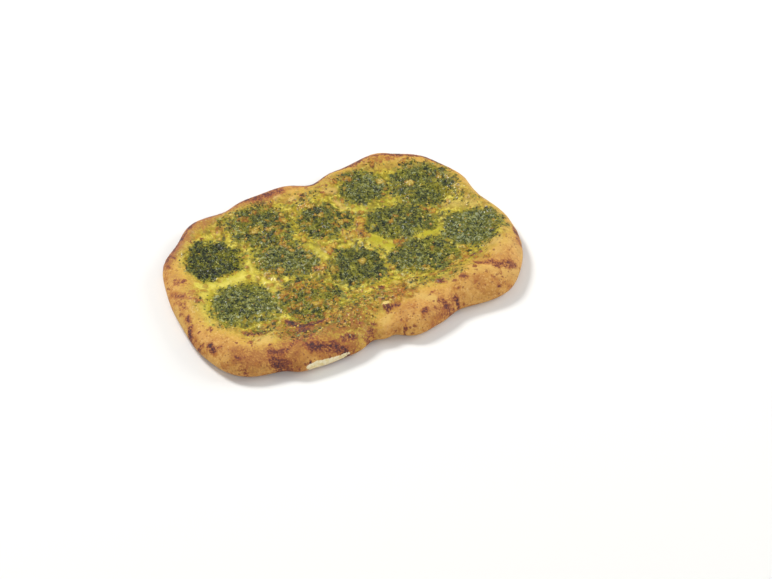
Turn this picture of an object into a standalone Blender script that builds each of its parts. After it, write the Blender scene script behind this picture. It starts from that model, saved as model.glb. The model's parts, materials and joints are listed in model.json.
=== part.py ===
"""A garlic and herb naan: one hand-stretched flat bread with a puffed rim and a shallow dish, baked crumbs of
butter on the dish, and twelve rounds of melted herb butter, each a thin dome of its own that follows the bread.

Metres, +Z up. The origin is under the middle of the bread, on the surface it lies on, and +X runs along it."""

import math
import random

import bmesh
import bpy
import numpy as np
from mathutils import Matrix, Vector
from mathutils.bvhtree import BVHTree

MM = 0.001

# Outline of the bread: a squarish oval, with lobes pulled out and dents pushed in by the baker's hands
LENGTH = 220 * MM
WIDTH = 148 * MM
SQUARENESS = 3.0
OUTLINE_LOBES = (  # bearing and spread in degrees, reach in millimetres
    (-176, 8, -1.0),
    (-150, 8, 2.5),
    (-137, 6, -3.0),
    (-132, 4, 1.4),
    (-112, 9, -1.8),
    (-99, 7, -6.5),
    (-88, 5, -4.5),
    (-77, 6, 1.5),
    (-55, 8, -4.5),
    (-40, 9, 5.5),
    (-26, 9, 1.5),
    (8, 10, -7.0),
    (24, 8, -4.0),
    (38, 7, 1.0),
    (50, 7, 5.0),
    (64, 7, -1.5),
    (79, 9, -7.0),
    (124, 6, -3.0),
    (135, 6, 2.0),
    (147, 7, -3.5),
    (165, 12, -3.5),
)
OUTLINE_SAMPLES = 720

# Section through the rim and the dish
EDGE_HEIGHT = 5.5 * MM
RIM_CROWN = 13.0 * MM
DISH_HEIGHT = 9.5 * MM
RIM_SHOULDER = 11.0 * MM
RIM_FALL = 15.0 * MM
UNDER_CURL = 10.0 * MM
ABOVE_BREAD = 40 * MM
RIM_LOBES = (  # bearing and spread in degrees, extra crown in millimetres, extra breadth as a share
    (-150, 30, 1.5, 0.25),
    (-105, 26, 1.0, 0.45),
    (-60, 24, 2.0, 0.55),
    (-30, 22, 2.5, 0.30),
    (12, 26, -1.5, -0.40),
    (60, 34, -1.0, -0.25),
    (120, 30, -0.5, -0.20),
)

# Bubbles that swelled in the oven, and hollows pressed in by fingertips: place, radius and rise in millimetres
BLISTERS = (
    (19, -46, 9, 2.2),
    (-12, -52, 12, 1.4),
    (-44, -54, 14, 1.2),
    (-88, -34, 12, 1.3),
    (-97, 4, 11, 1.0),
    (-92, 44, 9, 1.4),
    (-56, 62, 10, 1.1),
    (26, 62, 10, 1.0),
    (60, 62, 11, 1.3),
    (94, 22, 10, 1.0),
    (98, -38, 13, 1.5),
    (62, -56, 13, 1.6),
    (44, -50, 8, -0.9),
    (-2, 10, 11, 1.2),
    (-50, 4, 9, -0.8),
    (24, 18, 10, 0.9),
    (66, 6, 9, -0.8),
    (-12, 26, 8, 0.8),
    (28, -28, 8, -0.7),
)
SWELL_HEIGHT = 0.35 * MM
SWELL_LENGTH = 34 * MM
SWELL_WAVES = 5
SWELL_STRETCH = (0.75, 1.4)
SWELL_SEED = 7

# Facets of the bread
GRID_HALF_LINES = 21
GRID_EDGE_BIAS = 1.35
UNDER_STEPS = (0.12, 0.42, 1.0)

# Rounds of herb butter: place, half length and half width in millimetres, all turned the same way
HERB_ROUNDS = (
    (-70, 31, 17.0, 16.5),
    (-70, -11, 20.5, 17.0),
    (-32, 43.5, 18.0, 15.5),
    (5.5, 32, 16.0, 14.5),
    (-30, 12.5, 18.0, 13.0),
    (5.5, -12, 16.0, 16.0),
    (-31.5, -24.5, 18.0, 17.5),
    (41, 47.5, 14.5, 12.5),
    (74, 33, 18.0, 16.0),
    (48, 9.5, 20.5, 13.5),
    (46.5, -23, 20.5, 14.5),
    (84, -15, 18.5, 14.0),
)
ROUND_TURN = math.radians(-27)
ROUND_THICKNESS = 1.5 * MM
ROUND_GAP = 0.45 * MM
ROUND_SPOKES = 22
ROUND_RINGS = (0.3, 0.58, 0.82, 1.0)
ROUND_WOBBLE = 0.05
ROUND_WOBBLE_WAVES = (2, 3, 5)
ROUND_WOBBLE_SHARE = (0.4, 1.0)
ROUND_LUMP = 0.25 * MM
ROUND_SEED = 31
LUMP_SEED = 62

# Baked crumbs of butter and garlic, fused on the dish between the rounds
CRUMB_COUNT = 72
CRUMB_RADIUS = (1.1 * MM, 1.9 * MM)
CRUMB_UNEVENNESS = (0.85, 1.15)
CRUMB_FLATNESS = 0.6
CRUMB_SINK = 0.15
CRUMB_SPACING = 4.6 * MM
CRUMB_ROUND_GAP = 1.2 * MM
CRUMB_RIM_GAP = 19 * MM
CRUMB_SEED = 5

# Plain colours of the two materials, in linear light
CRUST_COLOUR = (0.58, 0.33, 0.10, 1)
CRUST_ROUGHNESS = 0.55
HERB_COLOUR = (0.11, 0.115, 0.03, 1)
HERB_ROUGHNESS = 0.45


def clear_scene():
    for obj in list(bpy.data.objects):
        bpy.data.objects.remove(obj)


def paint(name, colour, roughness):
    material = bpy.data.materials.new(name)
    material.use_nodes = True
    shader = material.node_tree.nodes["Principled BSDF"]
    shader.inputs["Base Color"].default_value = colour
    shader.inputs["Roughness"].default_value = roughness
    shader.inputs["Metallic"].default_value = 0.0
    return material


def lobe(bearing, centre, spread):
    """A smooth hump round one bearing, 1 at its centre. Bearing is in radians, centre and spread in degrees."""
    off = np.remainder(bearing - math.radians(centre) + math.pi, 2 * math.pi) - math.pi
    return np.exp(-((off / math.radians(spread)) ** 2))


def outline_radius(bearing):
    """Distance from the middle of the bread to its edge."""
    along = np.abs(np.cos(bearing)) / (LENGTH / 2)
    across = np.abs(np.sin(bearing)) / (WIDTH / 2)
    radius = (along**SQUARENESS + across**SQUARENESS) ** (-1 / SQUARENESS)
    for centre, spread, reach in OUTLINE_LOBES:
        radius = radius + reach * MM * lobe(bearing, centre, spread)
    return radius


def edge_inset(x, y):
    """Distance of plan points from the outline, all of them inside it."""
    bearing = np.linspace(0, 2 * math.pi, OUTLINE_SAMPLES, endpoint=False)
    radius = outline_radius(bearing)
    edge = np.stack([radius * np.cos(bearing), radius * np.sin(bearing)], axis=1)
    points = np.stack([np.ravel(x), np.ravel(y)], axis=1)
    gaps = np.linalg.norm(points[:, None, :] - edge[None, :, :], axis=2)
    return gaps.min(axis=1).reshape(np.shape(x))


def smooth_step(share):
    share = np.clip(share, 0, 1)
    return share * share * (3 - 2 * share)


def relief(x, y):
    """Blisters, finger hollows and a low swell over the whole top."""
    height = np.zeros(np.shape(x))
    for centre_x, centre_y, radius, rise in BLISTERS:
        distance = np.hypot(x - centre_x * MM, y - centre_y * MM) / (radius * MM)
        height = height + rise * MM * np.exp(-(distance**2))
    waves = random.Random(SWELL_SEED)
    for _ in range(SWELL_WAVES):
        heading = waves.uniform(0, 2 * math.pi)
        phase = waves.uniform(0, 2 * math.pi)
        length = SWELL_LENGTH * waves.uniform(*SWELL_STRETCH)
        run = x * math.cos(heading) + y * math.sin(heading)
        height = height + SWELL_HEIGHT * np.sin(2 * math.pi * run / length + phase)
    return height


def top_height(x, y):
    """The bread's upper surface: a rounded shoulder up to the rim's crown, then down to the dish."""
    bearing = np.arctan2(y, x)
    crown = np.full(np.shape(x), RIM_CROWN)
    breadth = np.ones(np.shape(x))
    for centre, spread, rise, widen in RIM_LOBES:
        hump = lobe(bearing, centre, spread)
        crown = crown + rise * MM * hump
        breadth = breadth + widen * hump
    inset = edge_inset(x, y)
    shoulder = np.clip(inset / (RIM_SHOULDER * breadth), 0, 1)
    rim = EDGE_HEIGHT + (crown - EDGE_HEIGHT) * np.sqrt(1 - (1 - shoulder) ** 2)
    fall = smooth_step((inset - RIM_SHOULDER * breadth) / (RIM_FALL * breadth))
    blend_in = smooth_step(inset / RIM_SHOULDER)
    return rim - (crown - DISH_HEIGHT) * fall + blend_in * relief(x, y)


def under_height(inset):
    """The underside curls up from the flat, baked base to the edge."""
    share = np.clip(inset / UNDER_CURL, 0, 1)
    return EDGE_HEIGHT * (1 - np.sqrt(1 - (1 - share) ** 2))


def square_to_disc(a, b):
    """A square grid bent to a disc, so that the facets are even, with no pole. Returns radius share and bearing."""
    wide = np.abs(a) >= np.abs(b)
    safe_a = np.where(a == 0, 1, a)
    safe_b = np.where(b == 0, 1, b)
    bearing = np.where(wide, math.pi / 4 * b / safe_a, math.pi / 2 - math.pi / 4 * a / safe_b)
    radius = np.where(wide, a, b)
    bearing = np.where((a == 0) & (b == 0), 0, bearing)
    return np.abs(radius), bearing + np.where(radius < 0, math.pi, 0)


def mesh_object(name, points, faces, material):
    mesh = bpy.data.meshes.new(name)
    mesh.from_pydata([tuple(float(v) for v in p) for p in points], [], faces)
    work = bmesh.new()
    work.from_mesh(mesh)
    bmesh.ops.triangulate(work, faces=work.faces)
    bmesh.ops.recalc_face_normals(work, faces=work.faces)
    work.to_mesh(mesh)
    work.free()
    mesh.shade_smooth()
    mesh.materials.append(material)
    obj = bpy.data.objects.new(name, mesh)
    bpy.context.scene.collection.objects.link(obj)
    return obj


def grid_border(side):
    """Indices of a square grid's border, once round."""
    last = side - 1
    south = [(i, 0) for i in range(last)]
    east = [(last, j) for j in range(last)]
    north = [(last - i, last) for i in range(last)]
    west = [(0, last - j) for j in range(last)]
    return [j * side + i for i, j in south + east + north + west]


def make_bread(material):
    """The top as a bent grid, then rings down the curled underside to one flat face."""
    half = 1 - (1 - np.linspace(0, 1, GRID_HALF_LINES + 1)) ** GRID_EDGE_BIAS
    lines = np.concatenate([-half[:0:-1], half])
    side = len(lines)
    a, b = np.meshgrid(lines, lines)
    share, bearing = square_to_disc(a, b)
    reach = share * outline_radius(bearing)
    x, y = reach * np.cos(bearing), reach * np.sin(bearing)
    z = top_height(x, y)
    border = grid_border(side)
    z.ravel()[border] = EDGE_HEIGHT
    points = list(np.stack([x.ravel(), y.ravel(), z.ravel()], axis=1))
    faces = [
        (j * side + i, j * side + i + 1, (j + 1) * side + i + 1, (j + 1) * side + i)
        for j in range(side - 1)
        for i in range(side - 1)
    ]
    ring = border
    edge = np.array([points[k] for k in border])
    outward = edge[:, :2] / np.linalg.norm(edge[:, :2], axis=1)[:, None]
    for step in UNDER_STEPS:
        plan = edge[:, :2] - outward * UNDER_CURL * step
        start = len(points)
        height = under_height(np.full(len(plan), UNDER_CURL * step))
        points += list(np.column_stack([plan, height]))
        below = list(range(start, len(points)))
        count = len(ring)
        faces += [
            (ring[k], below[k], below[(k + 1) % count], ring[(k + 1) % count]) for k in range(count)
        ]
        ring = below
    faces.append(tuple(reversed(ring)))
    return mesh_object("bread", points, faces, material)


def round_reach(number, spoke_bearing):
    """How far a round of herb butter spreads in a direction of its own."""
    _, _, half_length, half_width = HERB_ROUNDS[number]
    wobble = random.Random(ROUND_SEED + number)
    turn = spoke_bearing - ROUND_TURN
    reach = MM / np.hypot(np.cos(turn) / half_length, np.sin(turn) / half_width)
    for waves in ROUND_WOBBLE_WAVES:
        phase = wobble.uniform(0, 2 * math.pi)
        depth = ROUND_WOBBLE * wobble.uniform(*ROUND_WOBBLE_SHARE)
        reach = reach * (1 + depth * np.sin(waves * spoke_bearing + phase))
    return reach


def make_round(number, surface, material):
    """One round of herb butter: a thin lumpy dome, its underside held just clear of the bread."""
    centre_x, centre_y, _, _ = HERB_ROUNDS[number]
    lumps = random.Random(LUMP_SEED + number)

    def under(x, y):
        hit, _, _, _ = surface.ray_cast(Vector((x, y, ABOVE_BREAD)), Vector((0, 0, -1)))
        return hit.z + ROUND_GAP

    def ring_points(share, bearings):
        reach = round_reach(number, bearings) * share
        return centre_x * MM + reach * np.cos(bearings), centre_y * MM + reach * np.sin(bearings)

    bearings = np.linspace(0, 2 * math.pi, ROUND_SPOKES, endpoint=False)
    low, high = [], []
    for share in (0.0, *ROUND_RINGS):
        ring = bearings[:1] if share == 0 else bearings
        for x, y in zip(*ring_points(share, ring)):
            base = under(x, y)
            rise = ROUND_THICKNESS * (1 - share**3) + lumps.uniform(-1, 1) * ROUND_LUMP * (1 - share)
            low.append((x, y, base))
            high.append((x, y, base + rise))
    rim_start = 1 + ROUND_SPOKES * (len(ROUND_RINGS) - 1)
    points = low + high[:rim_start]
    top_of = [k if k >= rim_start else len(low) + k for k in range(len(low))]
    faces = []
    for k in range(ROUND_SPOKES):
        after = (k + 1) % ROUND_SPOKES
        for lift, swap in ((range(len(low)), True), (top_of, False)):
            fan = (lift[0], lift[1 + k], lift[1 + after])
            faces.append(fan[::-1] if swap else fan)
            for ring in range(len(ROUND_RINGS) - 1):
                inner = 1 + ring * ROUND_SPOKES
                outer = inner + ROUND_SPOKES
                quad = (lift[inner + k], lift[outer + k], lift[outer + after], lift[inner + after])
                faces.append(quad[::-1] if swap else quad)
    return mesh_object(f"herb_butter_{number + 1:02d}", points, faces, material)


def outside_rounds(x, y, gap):
    """Whether a plan point is clear of every round of herb butter."""
    for number, (centre_x, centre_y, _, _) in enumerate(HERB_ROUNDS):
        away_x, away_y = x - centre_x * MM, y - centre_y * MM
        bearing = math.atan2(away_y, away_x)
        if math.hypot(away_x, away_y) < float(round_reach(number, bearing)) + gap:
            return False
    return True


def crumb_places():
    """Plan points spread over the dish between the rounds, no two of them touching."""
    draw = random.Random(CRUMB_SEED)
    places = []
    while len(places) < CRUMB_COUNT:
        x = draw.uniform(-LENGTH / 2, LENGTH / 2)
        y = draw.uniform(-WIDTH / 2, WIDTH / 2)
        if math.hypot(x, y) > outline_radius(math.atan2(y, x)):
            continue
        if edge_inset(np.array([x]), np.array([y]))[0] < CRUMB_RIM_GAP:
            continue
        if not outside_rounds(x, y, CRUMB_RADIUS[1] + CRUMB_ROUND_GAP):
            continue
        if all(math.hypot(x - px, y - py) > CRUMB_SPACING for px, py in places):
            places.append((x, y))
    return places


def fuse_crumbs(bread, material):
    """Small flattened crumbs, half sunk in the dish and joined to the bread in one union."""
    crumbs = bpy.data.collections.new("crumbs")
    bpy.context.scene.collection.children.link(crumbs)
    draw = random.Random(CRUMB_SEED + 1)
    for x, y in crumb_places():
        radius = draw.uniform(*CRUMB_RADIUS)
        work = bmesh.new()
        bmesh.ops.create_icosphere(work, subdivisions=1, radius=radius)
        for corner in work.verts:
            corner.co *= draw.uniform(*CRUMB_UNEVENNESS)
            corner.co.z *= CRUMB_FLATNESS
        turn = Matrix.Rotation(draw.uniform(0, math.pi), 3, "Z")
        bmesh.ops.rotate(work, verts=work.verts, matrix=turn)
        mesh = bpy.data.meshes.new("crumb")
        work.to_mesh(mesh)
        work.free()
        mesh.materials.append(material)
        crumb = bpy.data.objects.new("crumb", mesh)
        height = float(top_height(np.array([x]), np.array([y]))[0])
        crumb.location = (x, y, height + CRUMB_SINK * radius)
        crumbs.objects.link(crumb)
    join_all(bread, crumbs)


def join_all(base, collection):
    union = base.modifiers.new("union", "BOOLEAN")
    union.operation = "UNION"
    union.operand_type = "COLLECTION"
    union.collection = collection
    union.solver = "EXACT"
    graph = bpy.context.evaluated_depsgraph_get()
    joined = bpy.data.meshes.new_from_object(base.evaluated_get(graph))
    base.modifiers.clear()
    base.data = joined
    for obj in list(collection.objects):
        bpy.data.objects.remove(obj)
    bpy.data.collections.remove(collection)


def surface_of(obj):
    points = [v.co.copy() for v in obj.data.vertices]
    return BVHTree.FromPolygons(points, [tuple(p.vertices) for p in obj.data.polygons])


def centre_over_origin(bread):
    """Moves every piece in plan, so that the middle of the bread's box lies over the origin."""
    corners = np.array([v.co for v in bread.data.vertices])
    middle = (corners.min(axis=0) + corners.max(axis=0)) / 2
    for obj in bpy.context.scene.objects:
        obj.location.x -= float(middle[0])
        obj.location.y -= float(middle[1])


def main():
    clear_scene()
    crust = paint("crust", CRUST_COLOUR, CRUST_ROUGHNESS)
    herbs = paint("herb_butter", HERB_COLOUR, HERB_ROUGHNESS)
    bread = make_bread(crust)
    surface = surface_of(bread)
    for number in range(len(HERB_ROUNDS)):
        make_round(number, surface, herbs)
    fuse_crumbs(bread, crust)
    centre_over_origin(bread)


main()
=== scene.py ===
"""A garlic and herb naan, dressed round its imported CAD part: the baked bread, twelve rounds of melted herb
butter, the chopped herbs and toasted crumbs on them, and the studio that they are seen in. Metres, +Z up."""

import json
import math
import random

import bmesh
import bpy
import numpy as np
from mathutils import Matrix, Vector, noise

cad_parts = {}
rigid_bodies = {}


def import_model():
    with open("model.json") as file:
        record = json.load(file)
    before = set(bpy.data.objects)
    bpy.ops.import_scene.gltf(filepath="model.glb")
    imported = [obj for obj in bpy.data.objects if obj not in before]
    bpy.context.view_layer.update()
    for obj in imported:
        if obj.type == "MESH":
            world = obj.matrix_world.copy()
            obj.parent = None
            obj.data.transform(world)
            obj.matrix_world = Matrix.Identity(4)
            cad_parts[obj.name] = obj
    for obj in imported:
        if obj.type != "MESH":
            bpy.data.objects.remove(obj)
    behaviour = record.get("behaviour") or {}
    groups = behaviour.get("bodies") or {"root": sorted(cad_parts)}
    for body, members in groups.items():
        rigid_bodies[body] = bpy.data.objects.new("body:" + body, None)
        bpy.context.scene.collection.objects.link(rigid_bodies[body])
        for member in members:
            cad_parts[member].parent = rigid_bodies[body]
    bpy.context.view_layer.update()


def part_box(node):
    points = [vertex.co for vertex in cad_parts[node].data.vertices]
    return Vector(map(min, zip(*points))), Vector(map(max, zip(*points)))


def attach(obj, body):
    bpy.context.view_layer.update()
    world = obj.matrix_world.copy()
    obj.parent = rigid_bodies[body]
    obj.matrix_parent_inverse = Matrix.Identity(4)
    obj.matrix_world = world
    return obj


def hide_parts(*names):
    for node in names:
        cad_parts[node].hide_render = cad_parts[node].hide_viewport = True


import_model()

# The bread. One piece of yeast dough, stretched by hand to a squarish oval and baked on a hot oven floor: the
# rim puffs up, browns and scorches in spots, and the middle stays low and soaks up the garlic butter.
MM = 0.001
LENGTH = 220 * MM
WIDTH = 148 * MM
SQUARENESS = 3.0
OUTLINE_LOBES = (  # bearing and spread in degrees, reach in millimetres
    (-176, 8, -1.0),
    (-150, 8, 2.5),
    (-137, 6, -3.0),
    (-132, 4, 1.4),
    (-112, 9, -1.8),
    (-99, 7, -6.5),
    (-88, 5, -4.5),
    (-77, 6, 1.5),
    (-55, 8, -4.5),
    (-40, 9, 5.5),
    (-26, 9, 1.5),
    (8, 10, -7.0),
    (24, 8, -4.0),
    (38, 7, 1.0),
    (50, 7, 5.0),
    (64, 7, -1.5),
    (79, 9, -7.0),
    (124, 6, -3.0),
    (135, 6, 2.0),
    (147, 7, -3.5),
    (165, 12, -3.5),
)
OUTLINE_SAMPLES = 720
POINTS_AT_ONCE = 4096
EDGE_HEIGHT = 5.5 * MM
RIM_CROWN = 13.0 * MM
DISH_HEIGHT = 9.5 * MM
RIM_SHOULDER = 11.0 * MM
RIM_FALL = 15.0 * MM
UNDER_CURL = 10.0 * MM
RIM_LOBES = (  # bearing and spread in degrees, extra crown in millimetres, extra breadth as a share
    (-150, 30, 1.5, 0.25),
    (-105, 26, 1.0, 0.45),
    (-60, 24, 2.0, 0.55),
    (-30, 22, 2.5, 0.30),
    (12, 26, -1.5, -0.40),
    (60, 34, -1.0, -0.25),
    (120, 30, -0.5, -0.20),
)
BLISTERS = (  # place, radius and rise in millimetres
    (19, -46, 9, 2.2),
    (-12, -52, 12, 1.4),
    (-44, -54, 14, 1.2),
    (-88, -34, 12, 1.3),
    (-97, 4, 11, 1.0),
    (-92, 44, 9, 1.4),
    (-56, 62, 10, 1.1),
    (26, 62, 10, 1.0),
    (60, 62, 11, 1.3),
    (94, 22, 10, 1.0),
    (98, -38, 13, 1.5),
    (62, -56, 13, 1.6),
    (44, -50, 8, -0.9),
    (-2, 10, 11, 1.2),
    (-50, 4, 9, -0.8),
    (24, 18, 10, 0.9),
    (66, 6, 9, -0.8),
    (-12, 26, 8, 0.8),
    (28, -28, 8, -0.7),
)
SWELL_HEIGHT = 0.35 * MM
SWELL_LENGTH = 34 * MM
SWELL_WAVES = 5
SWELL_STRETCH = (0.75, 1.4)
SWELL_SEED = 7
HERB_ROUNDS = (  # place, half length and half width in millimetres
    (-70, 31, 17.0, 16.5),
    (-70, -11, 20.5, 17.0),
    (-32, 43.5, 18.0, 15.5),
    (5.5, 32, 16.0, 14.5),
    (-30, 12.5, 18.0, 13.0),
    (5.5, -12, 16.0, 16.0),
    (-31.5, -24.5, 18.0, 17.5),
    (41, 47.5, 14.5, 12.5),
    (74, 33, 18.0, 16.0),
    (48, 9.5, 20.5, 13.5),
    (46.5, -23, 20.5, 14.5),
    (84, -15, 18.5, 14.0),
)
ROUND_LOOKS = (  # how dark the herbs are, how much butter has toasted among them, how far they have strayed
    (1.60, 0.00, 0.30),
    (-0.30, 0.00, 0.38),
    (0.45, 0.35, 0.40),
    (0.50, 0.35, 0.34),
    (-0.40, 0.25, 0.40),
    (0.75, 0.10, 0.34),
    (0.30, 0.75, 0.42),
    (-0.50, 0.10, 0.40),
    (0.20, 0.05, 0.50),
    (0.35, 0.10, 0.40),
    (0.25, 0.12, 0.38),
    (-0.75, 0.00, 0.44),
)
ROUND_TURN = math.radians(-27)
BREAD_LINES = (321, 221)
BREAD_EDGE_BIAS = 1.2

# Marks on the crust, each a soft streak: from place, to place, radius in millimetres, strength. First the
# burnt ones.
SCORCH_STREAKS = (
    (-74, -56, -66, -59, 2.8, 0.80),
    (-66, -59, -57, -56, 2.8, 0.75),
    (-74, -60, -71, -67, 3.6, 0.95),
    (-70, -62, -66, -66, 3.0, 0.75),
    (-72, -69, -62, -71, 2.6, 1.05),
    (-56, -54, -46, -57, 3.0, 0.70),
    (-51, -62, -45, -65, 4.0, 1.00),
    (-45, -65, -36, -69, 3.8, 0.95),
    (-37, -68, -29, -73, 3.8, 1.00),
    (-29, -64, -23, -65, 2.8, 0.90),
    (-8, -62, -17, -68, 2.6, 0.70),
    (-17, -58, -16, -59, 2.4, 0.60),
    (-52, -35, -49, -41, 2.6, 1.15),
    (-49, -43, -35, -45, 2.6, 1.15),
    (-52, -46, -45, -49, 3.4, 0.95),
    (-54, -70, -54, -70, 1.8, 1.05),
    (-71, -51, -71, -51, 1.8, 1.00),
    (-81, -43, -81, -44, 1.9, 0.85),
    (-79, -34, -69, -38, 2.8, 0.95),
    (-97, -23, -97, -23, 2.0, 0.90),
    (-104, -21, -103, -21, 1.2, 0.90),
    (-106, -13, -109, -22, 1.7, 1.05),
    (-104, -6, -104, -8, 1.6, 0.85),
    (-108, -29, -107, -30, 1.9, 1.00),
    (-103, -34, -102, -37, 2.4, 1.10),
    (-99, -37, -97, -38, 1.4, 0.70),
    (-93, -50, -92, -51, 1.6, 1.05),
    (-92, -56, -90, -57, 2.2, 0.75),
    (-77, 50, -77, 50, 1.4, 1.00),
    (-70, 51, -70, 51, 1.3, 0.90),
    (-95, 20, -94, 20, 1.7, 1.00),
    (-99, 23, -95, 20, 3.2, 0.62),
    (-104, 16, -99, 9, 3.4, 0.55),
    (-96, 9, -90, 11, 3.6, 0.42),
    (-105, 9, -103, 0, 2.4, 0.58),
    (-98, 6, -93, 1, 2.8, 0.50),
    (-67, 68, -72, 64, 2.8, 1.20),
    (-76, 61, -81, 57, 2.4, 1.10),
    (-84, 54, -89, 50, 2.4, 1.00),
    (-93, 47, -95, 44, 2.2, 1.05),
    (-93, 44, -92, 42, 1.5, 0.80),
    (-98, 40, -97, 36, 1.6, 0.75),
    (-82, 56, -80, 57, 1.3, 0.80),
    (-63, 68, -60, 68, 1.3, 0.70),
    (-61, 71, -54, 71, 1.8, 0.75),
    (-42, 71, -8, 70, 3.0, 0.85),
    (-30, 69, -8, 67, 3.4, 0.85),
    (-7, 56, -3, 56, 1.3, 0.55),
    (1, 57, 5, 57, 1.4, 0.65),
    (15, 59, 20, 57, 1.4, 0.70),
    (11, 54, 15, 53, 1.3, 0.60),
    (40, 69, 50, 69, 2.6, 0.90),
    (50, 69, 63, 68, 2.0, 0.70),
    (63, 68, 75, 62, 2.2, 0.90),
    (75, 62, 82, 56, 2.0, 0.85),
    (58, 64, 68, 62, 2.4, 0.50),
    (83, 62, 88, 56, 1.8, 1.00),
    (102, 11, 104, 4, 1.8, 0.85),
    (106, -28, 105, -34, 2.4, 1.05),
    (103, -38, 103, -42, 2.0, 0.90),
    (69, -47, 79, -53, 2.8, 0.72),
    (78, -55, 88, -57, 2.8, 0.88),
    (78, -60, 78, -60, 1.6, 0.75),
    (72, -61, 72, -61, 1.2, 0.80),
    (78, -63, 78, -63, 1.2, 0.85),
    (74, -67, 74, -67, 1.2, 0.85),
    (61, -61, 61, -61, 1.8, 0.50),
    (56, -56, 55, -57, 2.6, 0.75),
    (41, -50, 43, -51, 2.8, 1.05),
    (23, -67, 22, -68, 2.6, 1.00),
    (35, -64, 37, -69, 3.2, 0.80),
    (30, -72, 44, -65, 4.0, 0.50),
    (45, -65, 45, -67, 2.0, 0.90),
    (39, -72, 42, -71, 2.6, 1.05),
    (29, -75, 26, -75, 2.6, 0.75),
    (34, -56, 34, -56, 1.4, 0.75),
    (9, -70, 9, -70, 1.1, 0.75),
    (71, -37, 74, -37, 1.0, 1.35),
    (78, -38, 78, -38, 1.1, 1.25),
    (10, -36, 10, -37, 2.0, 1.00),
    (4, -57, 10, -56, 2.4, 1.00),
)
TOAST_STREAKS = (  # butter that toasted to grains
    (25, 22, 20, 9, 3.4, 0.9),
    (-18, -2, -12, -6, 3.0, 0.8),
    (38, -4, 41, -8, 2.6, 0.7),
    (67, 12, 70, 9, 2.2, 0.6),
    (12, 18, 15, 13, 3.0, 0.6),
    (-26, 26, -22, 24, 2.4, 0.6),
    (0, 50, 6, 48, 2.6, 0.4),
    (-6, 7, 1, 9, 2.8, 0.6),
    (-47, -12, -42, -20, 3.4, 0.8),
    (72, 57, 76, 55, 2.2, 0.7),
    (50, 64, 60, 62, 3.0, 0.3),
    (24, 58, 42, 58, 3.0, 0.5),
    (-48, 54, -14, 60, 4.0, 0.35),
    (6, -48, 26, -42, 6.0, 1.0),
    (-22, -46, 4, -42, 7.0, 0.7),
    (-34, -42, -22, -48, 6.0, 0.9),
    (-50, -40, -34, -48, 5.0, 0.7),
    (-72, -36, -50, -42, 5.0, 0.5),
    (50, -42, 70, -34, 3.0, 0.9),
    (-24, -54, 0, -52, 5.0, 0.6),
)
HERB_STRAYS = (  # herbs that strayed past the rounds
    (-52, 57, -24, 60, 4.0, 0.30),
    (-14, 52, 10, 56, 4.0, 0.22),
    (54, 42, 62, 38, 5.0, 0.60),
    (58, -2, 66, -6, 4.0, 0.25),
    (-86, -22, -66, -34, 6.0, 0.50),
    (-66, -24, -62, -26, 3.0, 0.90),
    (-50, -30, -46, -24, 4.0, 0.35),
    (-50, -38, -10, -44, 7.0, 0.25),
    (-8, -36, 6, -44, 5.0, 0.20),
    (88, 16, 96, 4, 6.0, 0.18),
    (64, -34, 80, -32, 4.0, 0.18),
    (28, -44, 58, -48, 5.0, 0.22),
    (20, 14, 34, 8, 5.0, 0.15),
    (-46, -52, -30, -52, 4.0, 0.30),
    (-60, -46, -48, -52, 5.0, 0.24),
    (-50, 24, -44, 16, 5.0, 0.22),
    (86, 40, 92, 26, 5.0, 0.40),
)
HERB_GAPS = (  # places on the rounds that herbs left bare
    (-76, -22, -60, -24, 3.6, 0.8),
    (-82, -29, -66, -30, 4.2, 1.1),
    (-53, -32, -50, -41, 3.6, 1.2),
    (-49, -43, -34, -46, 3.8, 1.2),
    (-32, -44, -26, -42, 3.0, 0.7),
    (-40, 47, -33, 43, 3.0, 0.5),
    (-22, 41, -20, 34, 3.0, 0.6),
    (0, 29, 8, 24, 3.0, 0.4),
    (-26, 8, -20, 3, 3.0, 0.5),
    (-41, 14, -38, 13, 2.4, 0.4),
    (-34, -12, -31, -20, 3.2, 0.6),
    (-32, -26, -25, -26, 3.0, 0.5),
    (-40, -27, -38, -28, 2.6, 0.5),
    (51, 47, 56, 43, 3.0, 0.6),
    (60, 39, 66, 36, 2.6, 0.6),
    (82, 32, 83, 18, 5.0, 0.6),
    (88, 42, 90, 34, 4.0, 0.4),
    (57, -24, 57, -36, 3.0, 0.5),
    (97, -20, 96, -32, 5.0, 0.8),
    (-6, -6, -2, -10, 2.6, 0.5),
    (0, -24, 12, -26, 4.0, 0.4),
)
OLIVE_STREAKS = (  # butter that the herbs greened
    (24, 4, 34, -6, 6.0, 0.9),
    (56, -7, 66, -6, 4.0, 0.9),
    (24, 42, 44, 30, 7.0, 0.9),
    (44, 34, 62, 26, 6.0, 0.7),
    (66, 6, 74, -4, 6.0, 0.9),
    (22, 20, 30, 26, 5.0, 0.5),
    (44, -8, 58, -16, 5.0, 0.9),
    (-46, 30, -38, 36, 6.0, 0.9),
    (-20, 18, -6, 16, 5.0, 0.7),
    (2, 10, 8, 18, 6.0, 0.8),
    (14, -22, 28, -26, 6.0, 0.7),
    (-14, -20, -10, -34, 5.0, 0.6),
    (84, 10, 92, 0, 6.0, 0.6),
)
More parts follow.
